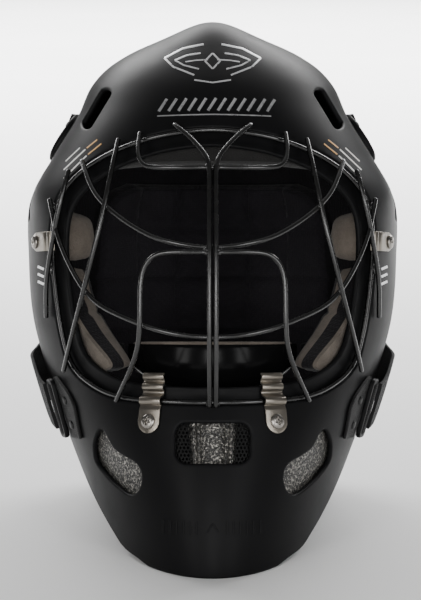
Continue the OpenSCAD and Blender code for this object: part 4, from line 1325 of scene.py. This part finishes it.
def stitch_line(fn, pts, side=1, length=2.3, gap=1.1, r=.34):
    """Rows of thread: fn maps (a, z) to a point; pts is a polyline in (a, z)."""
    P = resample(fn(np.array(pts, float)), .4)
    d = np.concatenate([[0], np.cumsum(np.linalg.norm(np.diff(P, axis=0), axis=1))])
    out, s = [], .3
    while s + length < d[-1]:
        q = np.linspace(s, s + length, 4)
        c = np.stack([np.interp(q, d, P[:, k]) for k in range(3)], 1)
        out.append(tube(c, r, 6))
        s += length + gap
    if not out:
        return None
    v, f = join(out)
    return mirror(v, f) if side < 0 else (v, f)


S_ROWS = [[68, 103, 30, 7.1], [74, 107, 31, 7.2], [82, 115, 34, 6.4], [92, 124, 37, 6.6], [104, 131, 39, 7.2], [116, 135, 40, 7.2], [128, 137, 40, 7.1]]
U_ROWS = [[96, 285, 30, 5.4], [102, 286, 29, 8.4], [110, 287, 28, 10], [120, 287, 27, 9], [130, 286, 26, 7.2], [140, 284, 26, 7]]


def strap_uv(name, rows, side, key, t=2.4):
    V, F, UV = webbing(rows, t, side)
    o = make(name, V, F, "elastic", None, [key], uv=UV, sharp=60)
    R = np.asarray(rows, float)
    a, b = at(R[0][1], R[0][0], 8.0), at(R[-1][1], R[-1][0], 8.0)
    q0, q1 = a + (b - a) * .12, a + (b - a) * .88
    q0, q1 = q0 * [side, 1, 1], q1 * [side, 1, 1]
    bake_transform(o)
    L = np.linalg.norm(np.diff(at(smooth(R, 8)[:, 1], smooth(R, 8)[:, 0], 8.0), axis=0), axis=1).sum() / 1000
    return o


for side, sn in ((1, "right"), (-1, "left")):
    strap_uv("side_elastic_" + sn, S_ROWS, side, "side_strap_" + sn)
    strap_uv("upper_elastic_" + sn, U_ROWS, side, "upper_strap_" + sn)
    # box stitching where they are sewn to the back plate
    th = []
    for rows, a0, a1 in ((S_ROWS, 118, 126), (U_ROWS, 132, 138.5)):
        R = smooth(np.asarray(rows, float), 10)
        zc = lambda a: np.interp(a, R[:, 0], R[:, 1])
        hw = lambda a: np.interp(a, R[:, 0], R[:, 2]) / 2 - 3.2
        hh = lambda a: np.interp(a, R[:, 0], R[:, 3]) + 2.4 + .12
        pt = lambda q: at(q[:, 1], q[:, 0], hh(q[:, 0]))
        for poly in ([(a0, zc(a0) - hw(a0)), (a0, zc(a0) + hw(a0))], [(a1, zc(a1) - hw(a1)), (a1, zc(a1) + hw(a1))],
                     [(a0, zc(a0) + hw(a0)), (a1, zc(a1) + hw(a1))], [(a0, zc(a0) - hw(a0)), (a1, zc(a1) - hw(a1))],
                     [(a0, zc(a0) - hw(a0)), (a1, zc(a1) + hw(a1))]):
            q = np.array(poly, float)
            q = q[0] + (q[1] - q[0]) * np.linspace(0, 1, 30)[:, None]
            r = stitch_line(pt, q, side)
            if r:
                th.append(r)
    V, F = join(th)
    make("strap_stitching_" + sn, V, F, "web", "back")

# tab that holds the loop on the shell
T_ROWS = np.array([[81, 57, 66], [86, 56.5, 66], [95, 55.5, 66], [102, 55, 66], [110, 57, 66], [117, 61, 66], [121, 64, 66]], float)


def tab_mesh(side):
    R = smooth(T_ROWS, 6)
    n, m = len(R), 14
    vv = np.linspace(0, 1, m)
    pr = [(v, 2.4) for v in vv[1:-1]] + [(.985, 2.2), (1.0, 1.4), (.985, .5)] + [(v, .4) for v in vv[1:-1][::-1]] + [(.015, .5), (0, 1.4), (.015, 2.2)]
    V = np.stack([at(R[:, 0], R[:, 1] + (R[:, 2] - R[:, 1]) * v, np.full(n, h)) for v, h in pr], 1)
    UV = np.stack([np.stack([(v - .5) * 18 + 0 * R[:, 0], R[:, 0]], 1) for v, h in pr], 1)
    F = grid_faces(n, len(pr), False, True, flip=True)
    k = len(pr)
    F += [tuple(range(k)), tuple((n - 1) * k + q for q in range(k))[::-1]]
    V = V.reshape(-1, 3)
    # the tab folds back round the bar
    bar = []
    for z in np.linspace(84, 118, 24):
        c = at(z, 66.4, 4.9)
        nv = normal(tz(z), 66.4)
        tv = at(z, 68.4, 4.9) - c
        tv /= np.linalg.norm(tv)
        bar.append([c + 2.9 * (math.cos(q) * tv + math.sin(q) * nv) * (.98 if abs(z - 101) < 16 else .86) for q in np.radians(np.arange(0, 360, 24))])
    bar = np.array(bar)
    bf = grid_faces(len(bar), bar.shape[1], False, True, flip=True)
    bk = bar.shape[1]
    bf += [tuple(range(bk)), tuple((len(bar) - 1) * bk + q for q in range(bk))[::-1]]
    U2 = np.array([[q * 1.2, z] for z in np.linspace(84, 118, 24) for q in range(bk)])
    V2, F2 = join([(V, F), (bar.reshape(-1, 3), bf)])
    UVa = np.vstack([UV.reshape(-1, 2), U2])
    if side < 0:
        V2, F2 = mirror(V2, F2)
    return V2, F2, UVa


def rounded_rect(w, h, r, n=6):
    out = []
    for cx, cy, a0 in ((w / 2 - r, h / 2 - r, 0), (-w / 2 + r, h / 2 - r, 90), (-w / 2 + r, -h / 2 + r, 180), (w / 2 - r, -h / 2 + r, 270)):
        out += [(cx + r * math.cos(math.radians(a0 + 90 * k / n)), cy + r * math.sin(math.radians(a0 + 90 * k / n))) for k in range(n + 1)]
    return np.array(out)


def loop_mesh(side):
    B, p = basis(at(101, 66, 3.4), normal(tz(101.0), 66.0), [0, 0, 1])
    c = resample(np.pad(rounded_rect(13, 37, 2.8), ((0, 0), (0, 1))), 1.0, True)
    c[:, 2] = 1.6
    f = np.roll(c, -1, 0) - np.roll(c, 1, 0)
    f /= np.linalg.norm(f, axis=1)[:, None]
    out = np.stack([f[:, 1], -f[:, 0], 0 * f[:, 0]], 1)
    pr = rounded_rect(3.9, 3.1, 1.0, 4)
    V = c[:, None, :] + pr[None, :, :1] * out[:, None, :] + pr[None, :, 1:] * np.array([0, 0, 1.0])
    n, m = V.shape[:2]
    F = grid_faces(n, m, True, True)
    V = to_frame(V.reshape(-1, 3), B, p)
    return (V, F) if side > 0 else mirror(V, F)


def rivet_at(z, a, d):
    B, p = basis(at(z, a, d), normal(tz(z), float(a)), [0, 0, 1])
    v, f = revolve([(.4, 1.15), (1.2, 1.1), (2.0, .92), (2.6, .6), (2.95, .2), (3.0, 0), (2.9, -.3), (.5, -.3)], 32)
    return to_frame(v, B, p), [tuple(reversed(q)) for q in f]


for side, sn in ((1, "right"), (-1, "left")):
    V, F, UV = tab_mesh(side)
    make("loop_tab_web_" + sn, V, F, "web", "shell", ["loop_tab_" + sn], uv=UV, sharp=60)
    V, F = loop_mesh(side)
    make("strap_loop_" + sn, V, F, "buckle", "shell", ["side_strap_loop_" + sn], sharp=50)
for nm, zs, a, d in (("loop_tab_rivets", (90, 106), 60, 2.9), ("upper_strap_rivets", (276, 292), 91, 4.6)):
    V, F = join([rivet_at(float(z), a, d) for z in zs])
    V, F = both_sides((V, F))
    make(nm + "_domed", V, F, "rivet", "shell", [nm], sharp=50)

# moulded anchor of the upper strap
A_ROWS = np.array([[268, 90, 98, 1], [274, 87, 100, 1.6], [284, 86, 101, 2], [294, 87, 100, 1.6], [301, 91, 98, 1]], float)


def anchor_mesh():
    R = smooth(A_ROWS, 9)
    n, m = len(R), 34
    vv = np.linspace(0, 1, m)
    A = R[:, 1:2] + (R[:, 2:3] - R[:, 1:2]) * vv
    Z = np.repeat(R[:, :1], m, 1)
    u = np.linspace(0, 1, n)[:, None]
    ed = np.minimum(np.minimum(u, 1 - u) * 33, np.minimum(vv, 1 - vv)[None, :] * 24)
    top_ = R[:, 3:4] + 2.4
    r = np.sqrt(np.clip(1 - (1 - np.clip(ed / 2.2, 0, 1)) ** 2, 0, 1))
    H = .9 + (top_ - .9) * (.35 + .65 * r) - .5 * np.exp(-((A - 95.5) * 1.9 / 1.1) ** 2) * (ed > 3)
    O, I = surf(tz(Z), A, H), surf(tz(Z), A, np.full(A.shape, .7))
    g = grid_faces(n, m)
    k = n * m
    F = list(g) + [tuple(k + q for q in reversed(f)) for f in g]
    loop = [j for j in range(m)] + [i * m + m - 1 for i in range(1, n)] + [(n - 1) * m + j for j in range(m - 2, -1, -1)] + [i * m for i in range(n - 2, 0, -1)]
    F += [(loop[q], k + loop[q], k + loop[(q + 1) % len(loop)], loop[(q + 1) % len(loop)]) for q in range(len(loop))]
    return np.vstack([O.reshape(-1, 3), I.reshape(-1, 3)]), F


V, F = both_sides(anchor_mesh())
make("upper_anchor_plates", V, F, "buckle", "shell", ["upper_strap_anchors"], sharp=50)

# crown strap
C_ROWS = np.array([[42, .9], [52, 3.4], [60, 7], [70, 8.2], [84, 7.8], [98, 7.2]], float)
R = smooth(C_ROWS, 9)
pr = ring_profile(2.4, 11)
V, UV = [], []
for v, h in pr:
    t, a = top(np.full(len(R), v * 14.0), R[:, 0])
    V.append(surf(t, a, R[:, 1] + h))
    UV.append(np.stack([R[:, 0] * 1.05, v * 14 + 0 * R[:, 0]], 1))
V, UV = np.stack(V, 1), np.stack(UV, 1)
n, m = V.shape[:2]
F = grid_faces(n, m, False, True)
F += [tuple(range(m))[::-1], tuple((n - 1) * m + k for k in range(m))]
o = make("crown_elastic", V.reshape(-1, 3), F, "elastic", None, ["crown_strap"], uv=UV.reshape(-1, 2), sharp=60)
t0, a0 = top(np.array(0.0), np.array(50.0))
t1, a1 = top(np.array(0.0), np.array(86.0))
Vector(world(surf(t0, a0, 5.0)))
Vector(world(surf(t1, a1, 8.0)))
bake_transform(o)
riv = []
for x in (8.0,):
    t, a = top(np.array(x), np.array(88.0))
    B, p = basis(surf(t, a, 8.2 + 2.4), normal(t, a), [0, 1, 0])
    v, f = revolve([(.4, 1.15), (1.2, 1.1), (2.0, .92), (2.6, .6), (2.95, .2), (3.0, 0), (2.9, -.3), (.5, -.3)], 32)
    riv.append((to_frame(v, B, p), [tuple(reversed(q)) for q in f]))
V, F = both_sides(join(riv))
make("crown_rivets_domed", V, F, "rivet", "back", ["crown_strap_rivets"], sharp=50)

# chin straps
path = smooth([[59, -43, 135], [66, -36, 137], [76, -20, 141], [87, 0, 146], [97, 18, 149], [103, 30, 150], [104, 46, 150]], 8)
f = np.gradient(path, axis=0)
f /= np.linalg.norm(f, axis=1)[:, None]
g = np.cross(f, [0, 0, 1.0])
g /= np.linalg.norm(g, axis=1)[:, None]
s = np.concatenate([[0], np.cumsum(np.linalg.norm(np.diff(path, axis=0), axis=1))])
pr = ring_profile(1.6, 9)
end = np.clip(s / 1.5, 0, 1) * np.clip((s[-1] - s) / 6, 0, 1)
hw = 7.5 * (.55 + .45 * np.sqrt(np.clip(1 - (1 - np.clip((s[-1] - s) / 5, 0, 1)) ** 2, 0, 1)))
V = np.stack([path + g * (h - .8) + np.array([0, 0, 1.0]) * (v * hw)[:, None] for v, h in pr], 1)
UV = np.stack([np.stack([s, v * hw], 1) for v, h in pr], 1)
n, m = V.shape[:2]
F = grid_faces(n, m, False, True, flip=True)
F += [tuple(range(m)), tuple((n - 1) * m + k for k in range(m))[::-1]]
V = V.reshape(-1, 3)
for side, sn in ((1, "right"), (-1, "left")):
    vv, ff = (V, F) if side > 0 else mirror(V, F)
    o = make("chin_web_" + sn, vv, ff, "web", "chin", ["chin_strap_" + sn], uv=UV.reshape(-1, 2), sharp=60)

prof_cap = [(.5, -.9), (2.2, -.9), (2.6, -.5), (3.4, -.55), (3.9, -1.0), (5.2, -1.05), (5.8, -.7), (6.0, -.1), (5.9, .6), (5.5, 1.0), (.5, 1.0)]
v, f = revolve(prof_cap, 48)
cap = (np.stack([101.1 + v[:, 2], 38 + v[:, 0], 150 + v[:, 1]], 1), f)
V, F = both_sides(cap)
make("chin_snap_caps", V, F, "snap", "chin", ["chin_strap_snaps"], sharp=45)
v, f = revolve([(.5, 0), (4.6, 0), (5.0, .3), (5.0, 1.8), (4.6, 2.1), (2.6, 2.2), (2.5, 2.9), (.5, 3.0)], 40)
stud = (np.stack([105.2 + v[:, 2], 38 + v[:, 0], 150 + v[:, 1]], 1), f)
V, F = both_sides(stud)
make("chin_snap_posts", V, F, "snap", "shell", ["chin_snap_studs"], sharp=45)


# ------------------------------------------------------------- printed lines
def line(pts, w, d=.12, step=1.2, w1=None):
    """A thin painted stroke on the front of the shell."""
    P = resample(np.pad(np.array(pts, float), ((0, 0), (0, 1))), step)[:, :2]
    f = np.gradient(P, axis=0)
    f /= np.linalg.norm(f, axis=1)[:, None]
    nrm = np.stack([-f[:, 1], f[:, 0]], 1)
    ww = np.linspace(w, w if w1 is None else w1, len(P))[:, None] / 2
    prof = [(-1, -.35), (-.96, d * .8), (-.8, d), (0, d), (.8, d), (.96, d * .8), (1, -.35)]
    V = np.stack([onface((P + nrm * ww * v)[:, 0], (P + nrm * ww * v)[:, 1], np.full(len(P), h)) for v, h in prof], 1)
    n, m = V.shape[:2]
    F = grid_faces(n, m)
    return V.reshape(-1, 3), F


def fix(vf):
    """Faces outwards: towards the front."""
    v, f = vf
    a, b, c = v[f[len(f) // 2][0]], v[f[len(f) // 2][1]], v[f[len(f) // 2][2]]
    nrm = np.cross(b - a, c - a)
    return (v, f) if nrm[1] < 0 else (v, [tuple(reversed(g)) for g in f])


def strokes(name, lst, mat):
    parts = [fix(line(*a) if isinstance(a, tuple) else a) for a in lst]
    V, F = join(parts)
    return make(name, V, F, mat, "shell", sharp=60)


S2 = lambda p: [[-x, z] for x, z in p]
emblem = []
for s in (1, -1):
    q = lambda p: [[s * x, z] for x, z in p]
    emblem += [(q([[6, 343], [20, 340], [32, 333]]), 1.5), (q([[32, 333], [26, 326], [12, 319.5]]), 1.3), (q([[8, 336], [17, 334.5], [25, 331]]), 1.2),
               (q([[25, 331], [19, 327], [9, 324]]), 1.1), (q([[3, 331], [12, 330.5], [18, 329.5]]), .9)]
emblem += [([[-5, 330], [0, 336], [5, 330], [0, 324], [-5, 330]], 1.2), ([[-12, 316], [0, 314], [12, 316]], 1.1)]
strokes("crown_emblem", emblem, "silver")
bars = [([[x, 294.5 + .00 * x * x], [x + 5.2, 303]], 1.9) for x in np.arange(-35, 36, 6.4)]
bars += [([[-36, 291.4], [0, 291.9], [38, 291.4]], .8)]
strokes("forehead_bars", bars, "silver")
for s, sn in ((1, "right"), (-1, "left")):
    q = lambda p: [[s * x, z] for x, z in p]
    strokes("cheek_lines_white_" + sn, [(q([[83, 267.0], [98.5, 252.5]]), .9), (q([[84, 271.5], [99, 258.5]]), .9), (q([[88, 273], [98, 264.5]]), .8)], "white")
    strokes("cheek_lines_orange_" + sn, [(q([[73, 274.5], [82, 267.8]]), .9), (q([[76, 277.5], [83, 272.3]]), .9)], "orange")
    strokes("cheek_dashes_" + sn, [(q([[112.5, 192.5 - 5.0 * k], [117.5, 194.5 - 5.0 * k]]), 1.7) for k in range(3)], "silver")
emb = [([[x, 25.6], [x, 34.2]], 1.3, .5) for x in list(np.arange(-31, -6, 4.2)) + list(np.arange(9, 33, 4.2))]
emb += [([[-3.5, 27.4], [0, 32.8], [3.5, 27.4]], 1.1, .5)]
o = strokes("chin_embossed_ticks", emb, "shell")

# -------------------------------------------------------------------- stage
me = bpy.data.meshes.new("studio_floor")
me.from_pydata([(-40, -40, 0), (40, -40, 0), (40, 40, 0), (-40, 40, 0)], [], [(0, 1, 2, 3)])
floor = bpy.data.objects.new("studio_floor", me)
bpy.context.scene.collection.objects.link(floor)
fm, nt, b = new_mat("floor")
v = coords(nt)
nt.links.new(ramp(nt, noise(nt, v, 1.2, 3), [(.3, (.86, .86, .86)), (.7, (.90, .90, .895))]), b.inputs["Base Color"])
b.inputs["Roughness"].default_value = .75
b.inputs["Specular IOR Level"].default_value = .15
me.materials.append(fm)


def area(name, loc, target, size, power, color=(1, 1, 1), sy=None):
    d = bpy.data.lights.new(name, "AREA")
    d.shape = "RECTANGLE"
    d.size, d.size_y = size, sy or size
    d.energy, d.color = power, color
    o = bpy.data.objects.new(name, d)
    o.location = loc
    o.rotation_euler = (Vector(target) - Vector(loc)).to_track_quat("-Z", "Y").to_euler()
    bpy.context.scene.collection.objects.link(o)
    return o


C = (0, 0, .17)
area("key_left", (-1.0, -1.55, .50), C, .45, 9.5, (1, .99, .98), .9)
area("key_right", (1.0, -1.55, .50), C, .45, 9.5, (1, 1, 1), .9)
area("front_soft", (0, -2.1, .42), (0, 0, .10), .5, 13, (1, 1, 1), .5)
area("top_soft", (0, .3, 2.0), C, 1.2, 1.8)
area("back_left", (-.9, 1.3, .9), C, .8, .6)
area("back_right", (.9, 1.3, .9), C, .8, .6)
area("floor_left", (-2.2, 3.4, 2.6), (-1.2, 4.5, 0), 3.0, 420)
area("floor_right", (2.2, 3.4, 2.6), (1.2, 4.5, 0), 3.0, 420)
area("floor_far", (0, 8, 4), (0, 9, 0), 6.0, 1400)
area("floor_near", (0, 1.5, 1.5), (0, 2.2, 0), 1.6, 20)
w = bpy.data.worlds.new("studio")
w.use_nodes = True
bg = w.node_tree.nodes["Background"]
bg.inputs["Color"].default_value = (1, 1, 1, 1)
bg.inputs["Strength"].default_value = .16
bpy.context.scene.world = w

cam_d = bpy.data.cameras.new("camera")
cam = bpy.data.objects.new("camera", cam_d)
cam.location = Vector(world(np.array([-1.4, -1500.0, 172.0])))
cam.rotation_euler = (math.radians(90 - LEAN), 0, 0)
cam_d.lens, cam_d.sensor_width, cam_d.sensor_fit = 2174 * 36 / 600, 36, "AUTO"
cam_d.clip_start, cam_d.clip_end = .05, 100
cam_d.dof.use_dof = False
bpy.context.scene.collection.objects.link(cam)
bpy.context.scene.camera = cam

bpy.context.view_layer.update()
